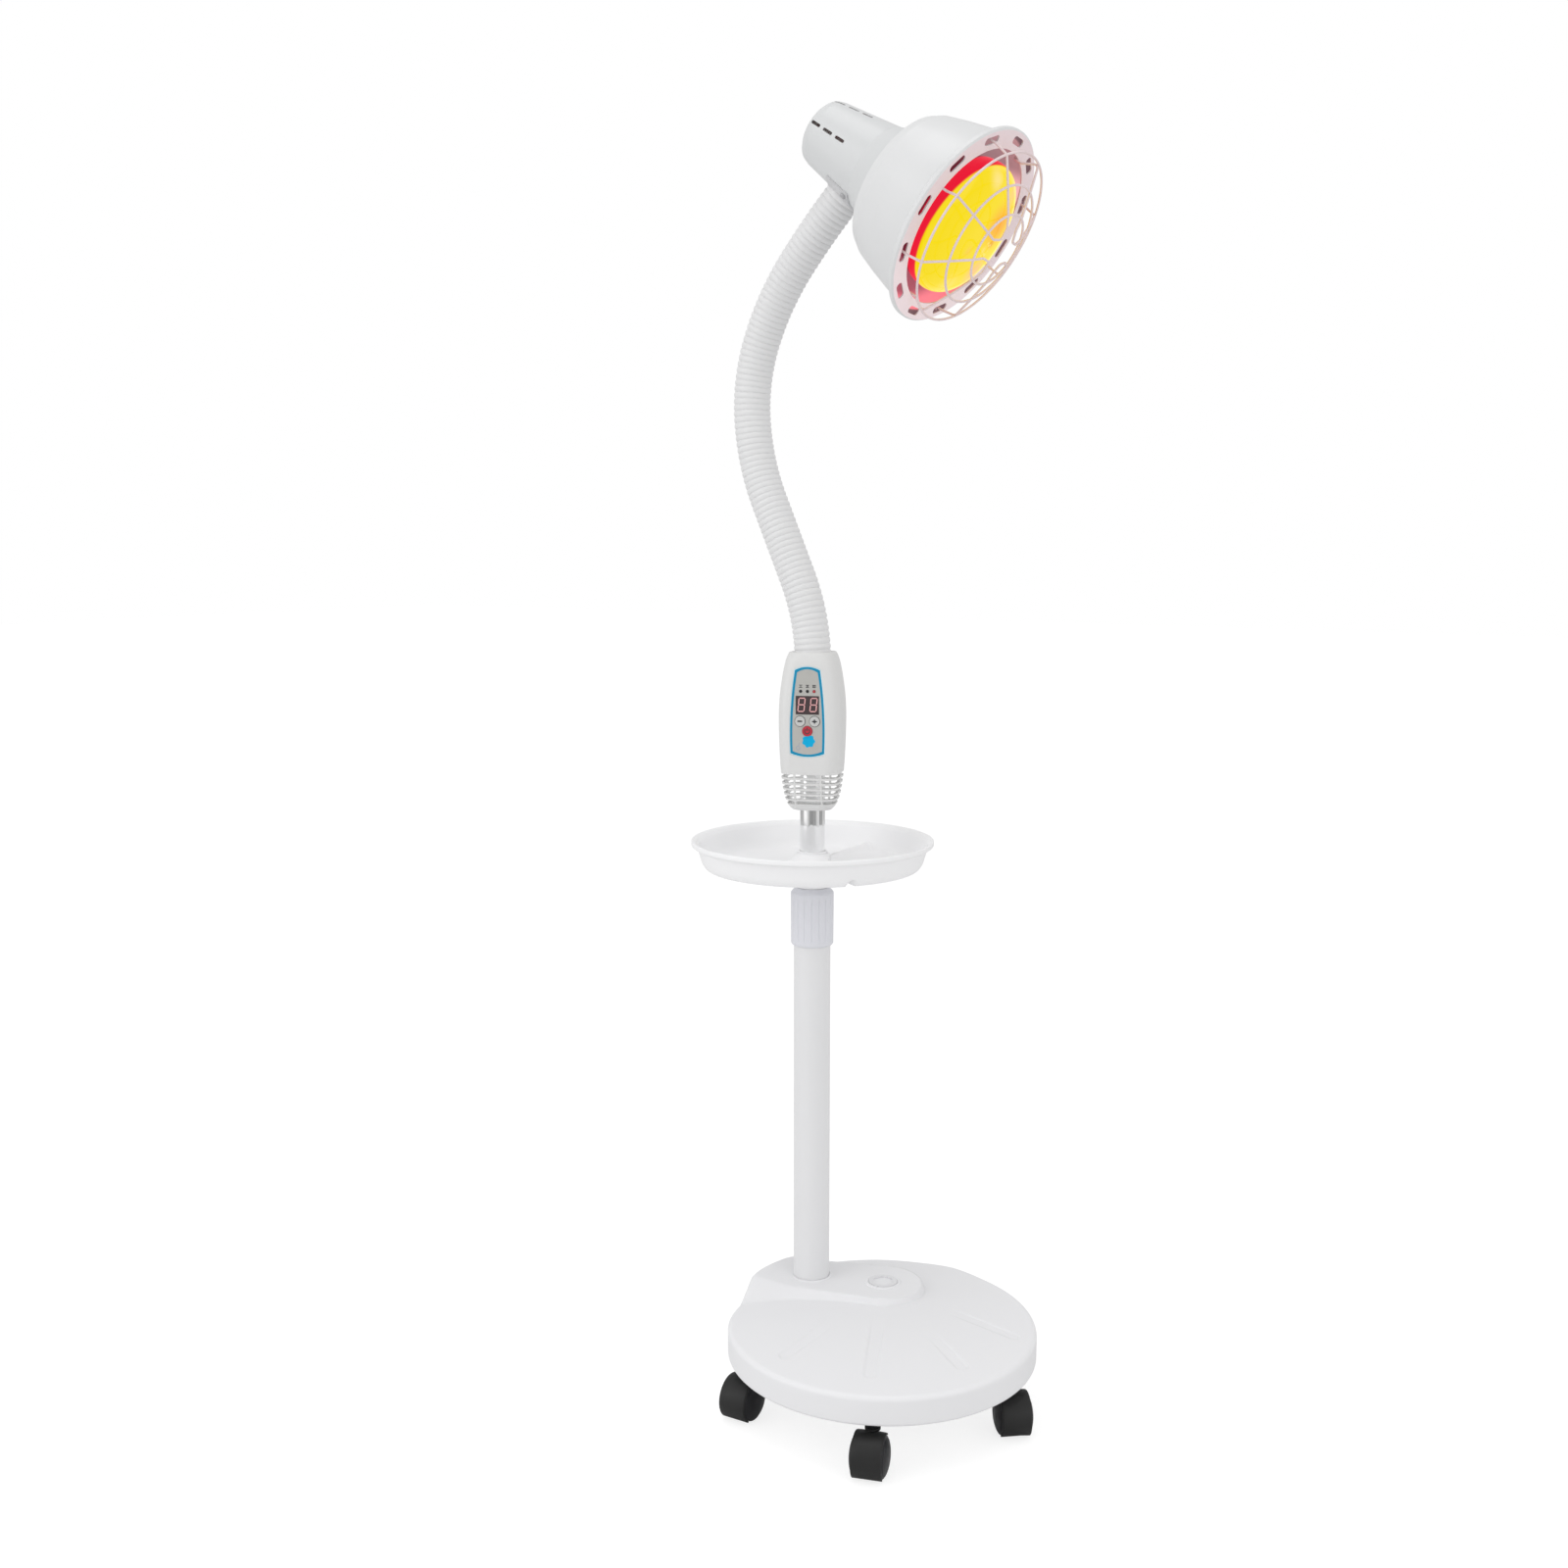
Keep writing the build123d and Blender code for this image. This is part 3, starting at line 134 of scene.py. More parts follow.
# ---------------------------------------------------------------- casters
# Five twin-wheel casters of black moulded nylon. Each hood is a barrel-shaped shroud over two
# domed wheels, turns on a steel stem pushed into the base, and hides a thin steel axle.

MM = 0.001


def rounded(corners, steps=6):
    """Outline through its corners, each one (across, up, rounding): a corner becomes a curve that
    starts and ends one rounding away from it, the square-weighted mean of start, corner and end."""
    c = np.array(corners, float)
    p = c[:, :2]
    to = np.roll(p, -1, 0) - p
    to = to / np.maximum(np.linalg.norm(to, axis=1, keepdims=True), 1e-9)
    start = p - np.roll(to, 1, 0) * c[:, 2:]
    end = p + to * c[:, 2:]
    t = np.linspace(0, 1, steps)[None, :, None]
    curve = (1 - t) ** 2 * start[:, None] + 2 * t * (1 - t) * p[:, None] + t ** 2 * end[:, None]
    return curve.reshape(-1, 2) * MM


def turned(outline, around=96):
    """Grid of a turned shape: each (radius, height) point of the outline carried round the Z axis."""
    angle = np.linspace(0, 2 * np.pi, around, endpoint=False)
    radius, height = outline[:, :1], outline[:, 1:]
    return np.stack([radius * np.cos(angle), radius * np.sin(angle), height + 0 * angle], -1)


def skin(name, grids, loop=False, ring=True, lids=False, crease=40):
    """Mesh of grids of points: every cell is one face, rows joined into rings, the last row joined to
    the first for a loop, and end rows closed by lids. Meeting points are merged, faces turned out."""
    points, faces, first = [], [], 0
    for grid in grids:
        rows, columns = grid.shape[:2]
        index = np.arange(rows * columns).reshape(rows, columns) + first
        below = index if loop else index[:-1]
        above = np.roll(index, -1, 0) if loop else index[1:]
        quads = np.stack([below, above, np.roll(above, -1, 1), np.roll(below, -1, 1)], -1)
        if not ring:
            quads = quads[:, :-1]
        faces += quads.reshape(-1, 4).tolist()
        if lids:
            faces += [index[0].tolist(), index[-1, ::-1].tolist()]
        points.append(grid.reshape(-1, 3))
        first += rows * columns
    mesh = bpy.data.meshes.new(name)
    mesh.from_pydata(np.concatenate(points).tolist(), [], faces)
    work = bmesh.new()
    work.from_mesh(mesh)
    bmesh.ops.remove_doubles(work, verts=work.verts, dist=2e-6)
    bmesh.ops.recalc_face_normals(work, faces=work.faces)
    work.to_mesh(mesh)
    work.free()
    mesh.shade_smooth()
    mesh.set_sharp_from_angle(angle=np.radians(crease))
    piece = bpy.data.objects.new(name, mesh)
    bpy.context.collection.objects.link(piece)
    return piece


def placed(grid, place):
    """The grid moved by a 4 by 4 place."""
    m = np.array(place)
    return grid @ m[:3, :3].T + m[:3, 3]


def finish(name, colour, gloss, cloud=(6.0, 0.02), grain=(700.0, 0.0), stretch=(1, 1, 1), **sockets):
    """A surface finish: its colour drifts a little over a wide cloud, its gloss wanders between two
    roughness values, and a fine grain lifts the surface. Sizes count features per metre, and the
    stretch scales them along x, y and z."""
    made = bpy.data.materials.new(name)
    made.use_nodes = True
    tree = made.node_tree
    shader = tree.nodes["Principled BSDF"]
    place = tree.nodes.new("ShaderNodeMapping")
    place.inputs["Scale"].default_value = stretch
    tree.links.new(tree.nodes.new("ShaderNodeTexCoord").outputs["Object"], place.inputs["Vector"])

    def noise(scale, detail):
        node = tree.nodes.new("ShaderNodeTexNoise")
        node.inputs["Scale"].default_value = scale
        node.inputs["Detail"].default_value = detail
        tree.links.new(place.outputs["Vector"], node.inputs["Vector"])
        return node.outputs["Fac"]

    tone = tree.nodes.new("ShaderNodeMix")
    tone.data_type = "RGBA"
    tone.inputs["A"].default_value = (*[c * (1 - cloud[1]) for c in colour], 1)
    tone.inputs["B"].default_value = (*[min(1, c * (1 + cloud[1])) for c in colour], 1)
    tree.links.new(noise(cloud[0], 2), tone.inputs["Factor"])
    tree.links.new(tone.outputs["Result"], shader.inputs["Base Color"])
    wander = tree.nodes.new("ShaderNodeMapRange")
    wander.inputs["To Min"].default_value = gloss[0]
    wander.inputs["To Max"].default_value = gloss[1]
    tree.links.new(noise(cloud[0] * 7, 3), wander.inputs["Value"])
    tree.links.new(wander.outputs["Result"], shader.inputs["Roughness"])
    if grain[1]:
        lift = tree.nodes.new("ShaderNodeBump")
        lift.inputs["Strength"].default_value = grain[1]
        lift.inputs["Distance"].default_value = 0.0003
        tree.links.new(noise(grain[0], 2), lift.inputs["Height"])
        tree.links.new(lift.outputs["Normal"], shader.inputs["Normal"])
    for socket, value in sockets.items():
        shader.inputs[socket.replace("_", " ")].default_value = value
    return made


def fit(piece, body, slot, material, *nodes):
    """Gives a piece its finish, sets it on its body, and puts it in the place of CAD nodes."""
    piece.data.materials.append(material)
    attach(piece, body)
    if nodes:
        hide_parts(*nodes)


def dress(node, material):
    """A CAD node keeps its shape and gets a finish."""
    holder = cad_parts[node]
    if not holder.material_slots:
        holder.data.materials.append(material)
    for place in holder.material_slots:
        place.material = material


black_nylon = finish("black nylon", (0.012, 0.012, 0.012), (0.44, 0.54), cloud=(20, 0.12),
                     grain=(900, 0.06), Specular_IOR_Level=0.36)
wheel_nylon = finish("wheel nylon", (0.007, 0.007, 0.009), (0.26, 0.34), cloud=(20, 0.12),
                     Specular_IOR_Level=0.36)
dark_steel = finish("blackened steel", (0.025, 0.025, 0.027), (0.35, 0.45), Metallic=0.6)
bright_steel = finish("bright steel", (0.55, 0.55, 0.56), (0.25, 0.4), Metallic=1.0)

CASTERS = 5
BASE_X, BASE_Y, BASE_R = 102.24, -35.71, 150.0
STEM_CIRCLE_R, FIRST_STEM = 131.0, -64.0
TRAIL, WHEEL_R = 12.0, 19.0
HOOD_BACK, HOOD_TOP, HOOD_HALF_WIDTH = -42, 128, 13.9

stem_angles = np.radians(FIRST_STEM + 360 / CASTERS * np.arange(CASTERS))
stem_x = BASE_X + STEM_CIRCLE_R * np.cos(stem_angles)
stem_y = BASE_Y + STEM_CIRCLE_R * np.sin(stem_angles)
hood_headings = np.radians((-72.5, -51.5, -60.0, -95.0, -88.5))
wheel_outline = rounded([(0, 6.2, 0), (16.6, 6.2, 0.3), (18.0, 6.6, 0.5), (19.0, 7.4, 0.6),
                         (19.0, 13.0, 0.8), (18.3, 14.2, 0.5), (17.4, 14.3, 0.4), (16.7, 15.2, 0.6),
                         (11.5, 17.3, 4), (5.5, 18.0, 2), (0, 18.0, 0)])
socket_outline = rounded([(0, 24, 0), (5.4, 24, 0), (5.6, 37.2, 2), (7.4, 38.6, 1), (7.2, 40.9, 0.6),
                          (0, 40.9, 0)])


def hood_shroud():
    """A T-shaped section swept round the axle from below the back to past the top. The shroud's half width
    is least level with the axle and grows a little towards its top and foot, with the square of the sine of
    the sweep, and its lower end is an arch between two feet, which reach lower with the sixth power of the
    offset."""
    across = np.array((-1, -1, -0.97, -0.9, -0.6, -0.3, 0, 0.3, 0.6, 0.9, 0.97, 1, 1, 1, 0.37, 0.37,
                       -0.37, -0.37, -1))
    radius = np.array((19.8, 20.4, 20.8, 21.05, 21.25, 21.3, 21.3, 21.3, 21.25, 21.05, 20.8, 20.4,
                       19.8, 19.25, 19.25, 12, 12, 19.25, 19.25))
    start = HOOD_BACK - 11 * across ** 6
    share = np.linspace(0, 1, 90)[:, None]
    sweep = np.radians(start * (1 - share) + HOOD_TOP * share)
    width = across * (HOOD_HALF_WIDTH + 0.3 * np.sin(sweep) ** 2)
    return np.stack([radius * np.cos(sweep), radius * np.sin(sweep), width], -1) * MM


for k in range(CASTERS):
    number = str(k + 1)
    stem = Matrix.Translation((stem_x[k] * MM, stem_y[k] * MM, 0))
    stand = stem @ Matrix.Rotation(hood_headings[k], 4, "Z")
    axle = stand @ Matrix.Translation((TRAIL * MM, 0, WHEEL_R * MM)) @ Matrix.Rotation(np.pi / 2, 4, "X")
    hood = skin("hood_" + number, [placed(hood_shroud(), axle)], lids=True, crease=32)
    fit(hood, "caster_" + number, "caster_nylon", black_nylon, "caster_hood_" + number)
    socket = skin("hood_socket_" + number, [placed(turned(socket_outline, 40), stand)])
    fit(socket, "caster_" + number, "caster_nylon", black_nylon)
    wheel = turned(wheel_outline, 72)
    other = wheel * np.array((1, 1, -1))
    pair = skin("wheels_" + number, [placed(wheel, axle), placed(other, axle)])
    fit(pair, "wheels_" + number, "caster_nylon", wheel_nylon, "caster_wheels_" + number)
    dress("caster_axle_" + number, bright_steel)
dress("caster_stems", dark_steel)


# ---------------------------------------------------------------- base
# A round blow-moulded base of white plastic, filled with sand, a little drawn out behind the mast.
# A raised tongue runs from there past the mast to the fill hole, and shallow troughs run out
# from it to a soft edge.

white_base = finish("base plastic", (0.83, 0.83, 0.845), (0.38, 0.46), cloud=(5, 0.012),
                    Specular_IOR_Level=0.3)
RIM_Z, BAND_TOP, CROWN, TONGUE_TOP = 50.0, 78.0, 6.0, 90.0
EDGE_ROUND, FOOT_ROUND = 5, 3
FILLER_X, FILLER_Y, FILLER_END_R = 71.42, 22.24, 39.5
TAIL_X, TAIL_Y, TAIL_END_R = -57.29, -17.84, 30.5
RIM_BUMPS = ((157, 9, 4.5), (90, 10, 4.4), (-168, 13, -5.5))
TROUGHS = ((-93.0, 84, 176), (-64.5, 60, 183), (-36.0, 100, 178), (-7.0, 66, 160))
TROUGH_HALF_WIDTH, TROUGH_DEPTH = 6.8, 1.0


def ease(t):
    """Smooth step from 0 to 1."""
    t = np.clip(t, 0, 1)
    return t * t * (3 - 2 * t)


def rim_radius(angle):
    """Radius of the base at each angle: round, drawn out by two low bumps and in by a flat, each one
    a bell curve of the angle from its middle."""
    bump = 0
    for middle, width, height in RIM_BUMPS:
        turn = (np.degrees(angle) - middle + 180) % 360 - 180
        bump = bump + height * np.exp(-(turn / width) ** 2)
    return BASE_R + bump


def hull(x, y, head, tail):
    """Place in the outline stretched round two circles, one about the filler and one about the
    tongue's far end: the distance outside it, and the share of the way from filler to far end."""
    run = np.array((TAIL_X - FILLER_X, TAIL_Y - FILLER_Y))
    length = np.hypot(*run)
    along = ((x - FILLER_X) * run[0] + (y - FILLER_Y) * run[1]) / length
    aside = np.abs((x - FILLER_X) * run[1] - (y - FILLER_Y) * run[0]) / length
    lean = (tail - head) / length
    share = np.clip((along + aside * lean / np.sqrt(1 - lean ** 2)) / length, 0, 1)
    return np.hypot(along - share * length, aside) - (head + share * (tail - head)), share


def base_top(x, y):
    """Height of the top: a shallow crown that falls with the square of the radius, less the troughs,
    and the tongue over it. The tongue's wall is narrow by the filler and spreads towards the rim."""
    radius = np.hypot(x - BASE_X, y - BASE_Y)
    crown = BAND_TOP + CROWN * (1 - (radius / BASE_R) ** 2)
    reach = np.hypot(x - FILLER_X, y - FILLER_Y)
    turn = np.degrees(np.arctan2(y - FILLER_Y, x - FILLER_X))
    for angle, start, end in TROUGHS:
        off = reach * np.sin(np.radians(turn - angle))
        front = reach * np.cos(np.radians(turn - angle))
        beyond = np.maximum(front - (end - 6), 0)
        dip = ease((TROUGH_HALF_WIDTH - np.hypot(off, beyond)) / 1.6)
        dip = dip * ease((front - start) / 60) * (front > start)
        crown = crown - TROUGH_DEPTH * dip
    top, share = hull(x, y, FILLER_END_R, TAIL_END_R)
    width = 2.2 + 35.0 * share ** 2.2
    wall = np.clip(1 - top / width, 0, 1)
    tail = 6.0 * ease((share - 0.6) / 0.4)
    return crown + np.maximum(TONGUE_TOP + tail - crown, 0) * wall


def base_body():
    """Rings about the base's centre: in over the top, whose rings crowd at the rim, then down the
    rounded edge, the upright band and the turned-in foot, and in again underneath. The rings'
    points crowd on the side where the troughs are."""
    front = np.radians(np.linspace(-150, 60, 340, endpoint=False))
    back = np.radians(np.linspace(60, 210, 130, endpoint=False))
    angle = np.concatenate([front, back])
    rim = rim_radius(angle)
    cosine, sine = np.cos(angle), np.sin(angle)
    painted_glow_inside = np.linspace(0, 1, 156)[:, None] ** 0.8
    ring = painted_glow_inside * (rim - 4.5)
    x, y = BASE_X + ring * cosine, BASE_Y + ring * sine
    top = np.stack([x, y, base_top(x, y)], -1)
    lip = top[-1, :, 2]
    bend = np.linspace(0, np.pi / 2, 9)[1:, None]
    over = rim - EDGE_ROUND + EDGE_ROUND * np.sin(bend)
    turn_over = np.stack([BASE_X + over * cosine, BASE_Y + over * sine,
                          lip - EDGE_ROUND + EDGE_ROUND * np.cos(bend)], -1)
    share = np.linspace(0, 1, 10)[1:, None]
    flat = rim + 0 * share
    band = np.stack([BASE_X + flat * cosine, BASE_Y + flat * sine,
                     (lip - EDGE_ROUND) * (1 - share) + (RIM_Z + FOOT_ROUND) * share], -1)
    tuck = np.linspace(0, np.pi / 2, 6)[1:, None]
    under = rim - FOOT_ROUND + FOOT_ROUND * np.cos(tuck)
    foot = np.stack([BASE_X + under * cosine, BASE_Y + under * sine,
                     RIM_Z + FOOT_ROUND - FOOT_ROUND * np.sin(tuck) + 0 * angle], -1)
    floor_ring = np.linspace(1, 0, 12)[1:, None] * (rim - FOOT_ROUND)
    below = np.stack([BASE_X + floor_ring * cosine, BASE_Y + floor_ring * sine,
                      RIM_Z + 0 * floor_ring], -1)
    return np.concatenate([top, turn_over, band, foot, below]) * MM


base = skin("base_body", [base_body()], crease=60)
fit(base, "base", "base_plastic", white_base, "base_shell")
well = rounded([(18.2, 86, 0), (18.5, 86, 0), (18.5, 90.0, 0.3), (19.3, 91.1, 0.6), (20.9, 90.3, 0.8),
                (21.4, 89.5, 0), (18.2, 89.5, 0)])
fit(skin("mast_well", [turned(well, 72)]), "base", "base_plastic", white_base)


# ---------------------------------------------------------------- filler plug
# A flat screw plug of the same plastic closes the hole that the sand is poured in by. It has a
# hexagonal recess for a key, and lies in a low raised ring.

filler_ring = rounded([(14.9, 89.2, 0), (14.9, 91.1, 0.3), (17.4, 91.1, 0.7), (18.2, 89.6, 0)])
grid = turned(filler_ring, 72) + np.array((FILLER_X, FILLER_Y, 0)) * MM
fit(skin("filler_ring", [grid]), "base", "base_plastic", white_base)


def measure(tree, operation, first, second):
    """One vector or number worked out from two others."""
    vector = operation.endswith("_V")
    kind = "ShaderNodeVectorMath" if vector or operation == "DOT_PRODUCT" else "ShaderNodeMath"
    node = tree.nodes.new(kind)
    node.operation = operation.replace("_V", "")
    for socket, value in zip(node.inputs, (first, second)):
        if hasattr(value, "links"):
            tree.links.new(value, socket)
        else:
            socket.default_value = value
    return node.outputs["Vector" if vector else "Value"]


def between(tree, value, low, high):
    """A smooth step from 0 to 1 as the value goes from low to high."""
    node = tree.nodes.new("ShaderNodeMapRange")
    node.interpolation_type = "SMOOTHSTEP"
    tree.links.new(value, node.inputs["Value"])
    node.inputs["From Min"].default_value = low
    node.inputs["From Max"].default_value = high
    return node.outputs["Result"]


def blended(tree, share, first, second):
    """Two colours or sockets mixed by one share."""
    node = tree.nodes.new("ShaderNodeMix")
    node.data_type = "RGBA"
    tree.links.new(share, node.inputs["Factor"])
    for name, value in (("A", first), ("B", second)):
        if hasattr(value, "links"):
            tree.links.new(value, node.inputs[name])
        else:
            node.inputs[name].default_value = (*value, 1)
    return node.outputs["Result"]


# Painted shade: the recess, below the plug's top, is painted darker, as it lies in shade.
plug_plastic = finish("plug plastic", (0.76, 0.76, 0.775), (0.4, 0.5))
tree = plug_plastic.node_tree
plug_colour = tree.nodes["Principled BSDF"].inputs["Base Color"]
rest_place = tree.nodes.new("ShaderNodeTexCoord").outputs["Object"]
recess_shade = between(tree, measure(tree, "DOT_PRODUCT", rest_place, (0, 0, 1)), 0.0910, 0.0885)
tree.links.new(blended(tree, recess_shade, plug_colour.links[0].from_socket, (0.52, 0.52, 0.53)), plug_colour)
dress("filler_plug", plug_plastic)


# ---------------------------------------------------------------- mast
# A white enamelled steel tube stands in the base. A plastic collet in its mouth, closed by a
# twist collar, grips the chromed inner tube that carries the box, gooseneck and lamp.

pole_enamel = finish("pole enamel", (0.79, 0.79, 0.80), (0.26, 0.34), cloud=(9, 0.012))
collar_plastic = finish("collar plastic", (0.74, 0.745, 0.79), (0.38, 0.48))
pale_nylon = finish("pale nylon", (0.62, 0.62, 0.63), (0.45, 0.55))
dress("lower_pole", pole_enamel)
for node in ("collet", "guide_bush"):
    dress(node, pale_nylon)
for node in ("pole_foot", "pole_bolt"):
    dress(node, bright_steel)
dress("sand_ballast", finish("dry sand", (0.45, 0.36, 0.24), (0.8, 0.95), cloud=(300, 0.3),
                             grain=(1500, 1.0)))

# The chrome is drawn lengthwise, so that its fine streaks run up the tube. In a band just below the box its
# colour is painted dark in streaks: painted shade under the box and a painted reflection of its dark mouth.
chrome = finish("chromed steel", (0.93, 0.935, 0.94), (0.16, 0.24), cloud=(150, 0.10),
                stretch=(1, 1, 0.012), Metallic=1.0)
tree = chrome.node_tree
shader = tree.nodes["Principled BSDF"]
rest_place = tree.nodes.new("ShaderNodeTexCoord").outputs["Object"]
streaks = tree.nodes.new("ShaderNodeTexNoise")
streaks.inputs["Scale"].default_value = 260
tree.links.new(measure(tree, "MULTIPLY_V", rest_place, (1, 1, 0.01)), streaks.inputs["Vector"])
streak = between(tree, streaks.outputs["Fac"], 0.36, 0.64)
box_reflection = blended(tree, streak, (0.40, 0.40, 0.40), (0.90, 0.90, 0.90))
height = measure(tree, "DOT_PRODUCT", rest_place, (0, 0, 1))
ragged = measure(tree, "ADD", height, measure(tree, "MULTIPLY", streaks.outputs["Fac"], 0.010))
below_box = between(tree, height, 0.576, 0.572)
reflection_band = measure(tree, "MULTIPLY", between(tree, ragged, 0.5600, 0.5615), below_box)
clean = shader.inputs["Base Color"].links[0].from_socket
tree.links.new(blended(tree, reflection_band, clean, box_reflection), shader.inputs["Base Color"])
dress("inner_tube", chrome)


COLLAR_R = 21.3
FLUTES, FLUTE_DEPTH, FLUTE_FOOT, FLUTE_TOP = 18, 0.55, 440, 485


def collar_body():
    """Turned collar with shallow flutes: the radius dips in a narrow valley at each flute, where the
    sine of half the flute count times the angle is near nothing, and the flutes fade out near the
    collar's two ends. The long side has forty rows, so that the flutes end cleanly."""
    outline = rounded([(18.6, 435.6, 0), (19.8, 435.6, 0.4), (21.2, 437.6, 1.2), (COLLAR_R, 488.5, 1.2),
                       (16.4, 493.4, 0.6), (12.6, 493.4, 0)], 8)
    outline = np.concatenate([outline[:20], np.linspace(outline[20], outline[24], 40), outline[24:]])
    grid = turned(outline, 360)
    angle = np.linspace(0, 2 * np.pi, 360, endpoint=False)
    height = outline[:, 1:] / MM
    valley = np.clip(1 - np.abs(np.sin(angle * FLUTES / 2)) / 0.28, 0, 1) ** 0.7
    fade = ease((height - FLUTE_FOOT) / 2) * ease((FLUTE_TOP - height) / 2)
    shrink = 1 - FLUTE_DEPTH / COLLAR_R * valley * fade
    grid[..., :2] *= shrink[..., None]
    return grid


collar = skin("collar_body", [collar_body()], crease=50)
fit(collar, "collar", "collar_plastic", collar_plastic, "twist_collar")


# ---------------------------------------------------------------- tray
# A round white tray, moulded in one, with a rolled rim and a curved divider folded up from below.
# It turns on a hub that stands on the collar.

tray_plastic = finish("tray plastic", (0.92, 0.92, 0.93), (0.30, 0.38), cloud=(7, 0.008))
TRAY_BOTTOM, TRAY_FLOOR_R, TRAY_BOSS_R = 512.6, 98, 15.9
FLOOR_ROWS, WALL_ROWS = 64, 30
DIVIDER = (87.0, -68.0), (18.0, 5.5), (3.0, 112.0)
DIVIDER_HEIGHT, DIVIDER_AT_BOSS, DIVIDER_AT_RIM = 8.8, 5.0, 1.2


def divider_distance(x, y):
    """Distance from the circle through the divider's two ends and middle."""
    (ax, ay), (bx, by), (cx, cy) = DIVIDER
    d = 2 * (ax * (by - cy) + bx * (cy - ay) + cx * (ay - by))
    a, b, c = ax ** 2 + ay ** 2, bx ** 2 + by ** 2, cx ** 2 + cy ** 2
    ux = (a * (by - cy) + b * (cy - ay) + c * (ay - by)) / d
    uy = (a * (cx - bx) + b * (ax - cx) + c * (bx - ax)) / d
    return np.abs(np.hypot(x - ux, y - uy) - np.hypot(ax - ux, ay - uy))


def tray_body():
    """Turned outline: up the boss, out over the floor, up the wall, over the rolled rim and back
    underneath. The floor sweeps up to the boss with the square of the distance. The divider lifts
    floor and underside alike in a ridge that eases down either side and is highest by the boss."""
    floor_in = np.stack([np.linspace(16.0, TRAY_FLOOR_R, FLOOR_ROWS),
                         np.full(FLOOR_ROWS, TRAY_BOTTOM + 2)], 1) * MM
    boss = rounded([(14.6, 514, 0), (14.6, 528.0, 0.3), (TRAY_BOSS_R, 528.0, 0.6),
                    (TRAY_BOSS_R, 527.4, 0)])
    wall = rounded([(98, 514.6, 0), (103.5, 515.6, 2), (107.3, 520.5, 2.5), (111.9, 536.5, 1),
                    (114.8, 540.2, 1.5), (118.6, 541.6, 1.0), (119.5, 540.6, 0.7), (119.4, 536.9, 1.0),
                    (117.6, 535.6, 0.6), (116.2, 536.6, 0.4), (114.6, 536.4, 1), (113.4, 533.6, 1),
                    (109.1, 519.0, 2.5), (105.2, 513.6, 2.5), (99, 512.6, 0)], 7)
    under = np.stack([np.linspace(TRAY_FLOOR_R, 14.6, FLOOR_ROWS), np.full(FLOOR_ROWS, TRAY_BOTTOM)], 1) * MM
    outline = np.concatenate([boss, floor_in, wall, under])
    grid = turned(outline, 400) / MM
    off = divider_distance(grid[..., 0], grid[..., 1])
    radius = np.hypot(grid[..., 0], grid[..., 1])
    upper = np.arange(len(outline))[:, None] < len(boss) + FLOOR_ROWS + WALL_ROWS
    crest = TRAY_BOTTOM + DIVIDER_HEIGHT + DIVIDER_AT_BOSS * np.exp(-(radius - 18) / 18)
    crest = crest + DIVIDER_AT_RIM * ease((radius - 80) / 25)
    lift_in = np.clip(crest - grid[..., 2], 0, None) * np.clip(1 - off / 9.5, 0, 1) ** 1.5
    lift_out = np.clip(crest - 1.6 - grid[..., 2], 0, None) * np.clip(1 - off / 5.2, 0, 1) ** 0.9
    clear = radius > TRAY_BOSS_R + 0.05
    sweep = 12.6 * np.clip(1 - (radius - 16) / 20, 0, 1) ** 2 * upper
    grid[..., 2] += np.maximum(np.where(upper, lift_in, lift_out), sweep) * clear * (radius < 116)
    return grid * MM


tray = skin("tray_body", [tray_body()], loop=True, crease=60)
fit(tray, "tray", "tray_plastic", tray_plastic, "tray")
dress("tray_hub", tray_plastic)


# ---------------------------------------------------------------- control box
# Two white plastic shells screwed together round the tube, waisted, with slots round the foot.
# Inside are the circuit board and the coupling that joins the gooseneck to the tube.

box_plastic = finish("box plastic", (0.72, 0.72, 0.715), (0.34, 0.44), cloud=(8, 0.012), grain=(900, 0.03))
# Painted light: inside, the shells glow faintly, standing in for the light that comes in at the slots.
tree = box_plastic.node_tree
shader = tree.nodes["Principled BSDF"]
sockets = tree.nodes.new("ShaderNodeTexCoord").outputs
level = measure(tree, "MULTIPLY_V", sockets["Object"], (1, 1, 0))
painted_glow_inside = between(tree, measure(tree, "DOT_PRODUCT", sockets["Normal"], level), -0.004, -0.012)
tree.links.new(blended(tree, painted_glow_inside, (0, 0, 0), (0.18, 0.18, 0.18)), shader.inputs["Emission Color"])
shader.inputs["Emission Strength"].default_value = 1.0
for node in ("control_box_front", "control_box_rear"):
    dress(node, box_plastic)
dress("circuit_board", finish("board laminate", (0.03, 0.16, 0.07), (0.4, 0.5)))
dress("neck_coupler", finish("die-cast zinc", (0.5, 0.5, 0.5), (0.4, 0.5), Metallic=1.0))
dress("box_screws", bright_steel)
dress("cable_gland", finish("gland nylon", (0.03, 0.03, 0.03), (0.4, 0.5)))


# ---------------------------------------------------------------- panel
# A silver foil label let into the front shell, printed with a blue border inside a pale edge and a
# blue sun. It carries a tinted window for a two-digit display, three lamps and three buttons.

FRONT_TURN = Matrix.Rotation(np.radians(20), 4, "Z")
LABEL_FACE, KEY_FACE = -25.9, -26.74
LABEL_FOOT, LABEL_TOP, LABEL_ARC = 625.5, 713.5, 3.2
LABEL_HALF_TOP, LABEL_HALF_FOOT, LABEL_HALF_MIDDLE = 12.9, 17.2, 17.0


def printed(name, shapes, lift, material, slot):
    """Flat shapes printed on the label: each one is a strip between two outlines of (across, height)
    points, an outer and an inner one, laid just in front of the label's face."""
    grids = []
    for outer, inner in shapes:
        flat = np.stack([outer, inner]) * MM
        grids.append(np.stack([flat[..., 0], 0 * flat[..., 0] + (LABEL_FACE - lift) * MM, flat[..., 1]], -1))
    piece = skin(name, [placed(grid, FRONT_TURN) for grid in grids])
    fit(piece, "mast", slot, material)


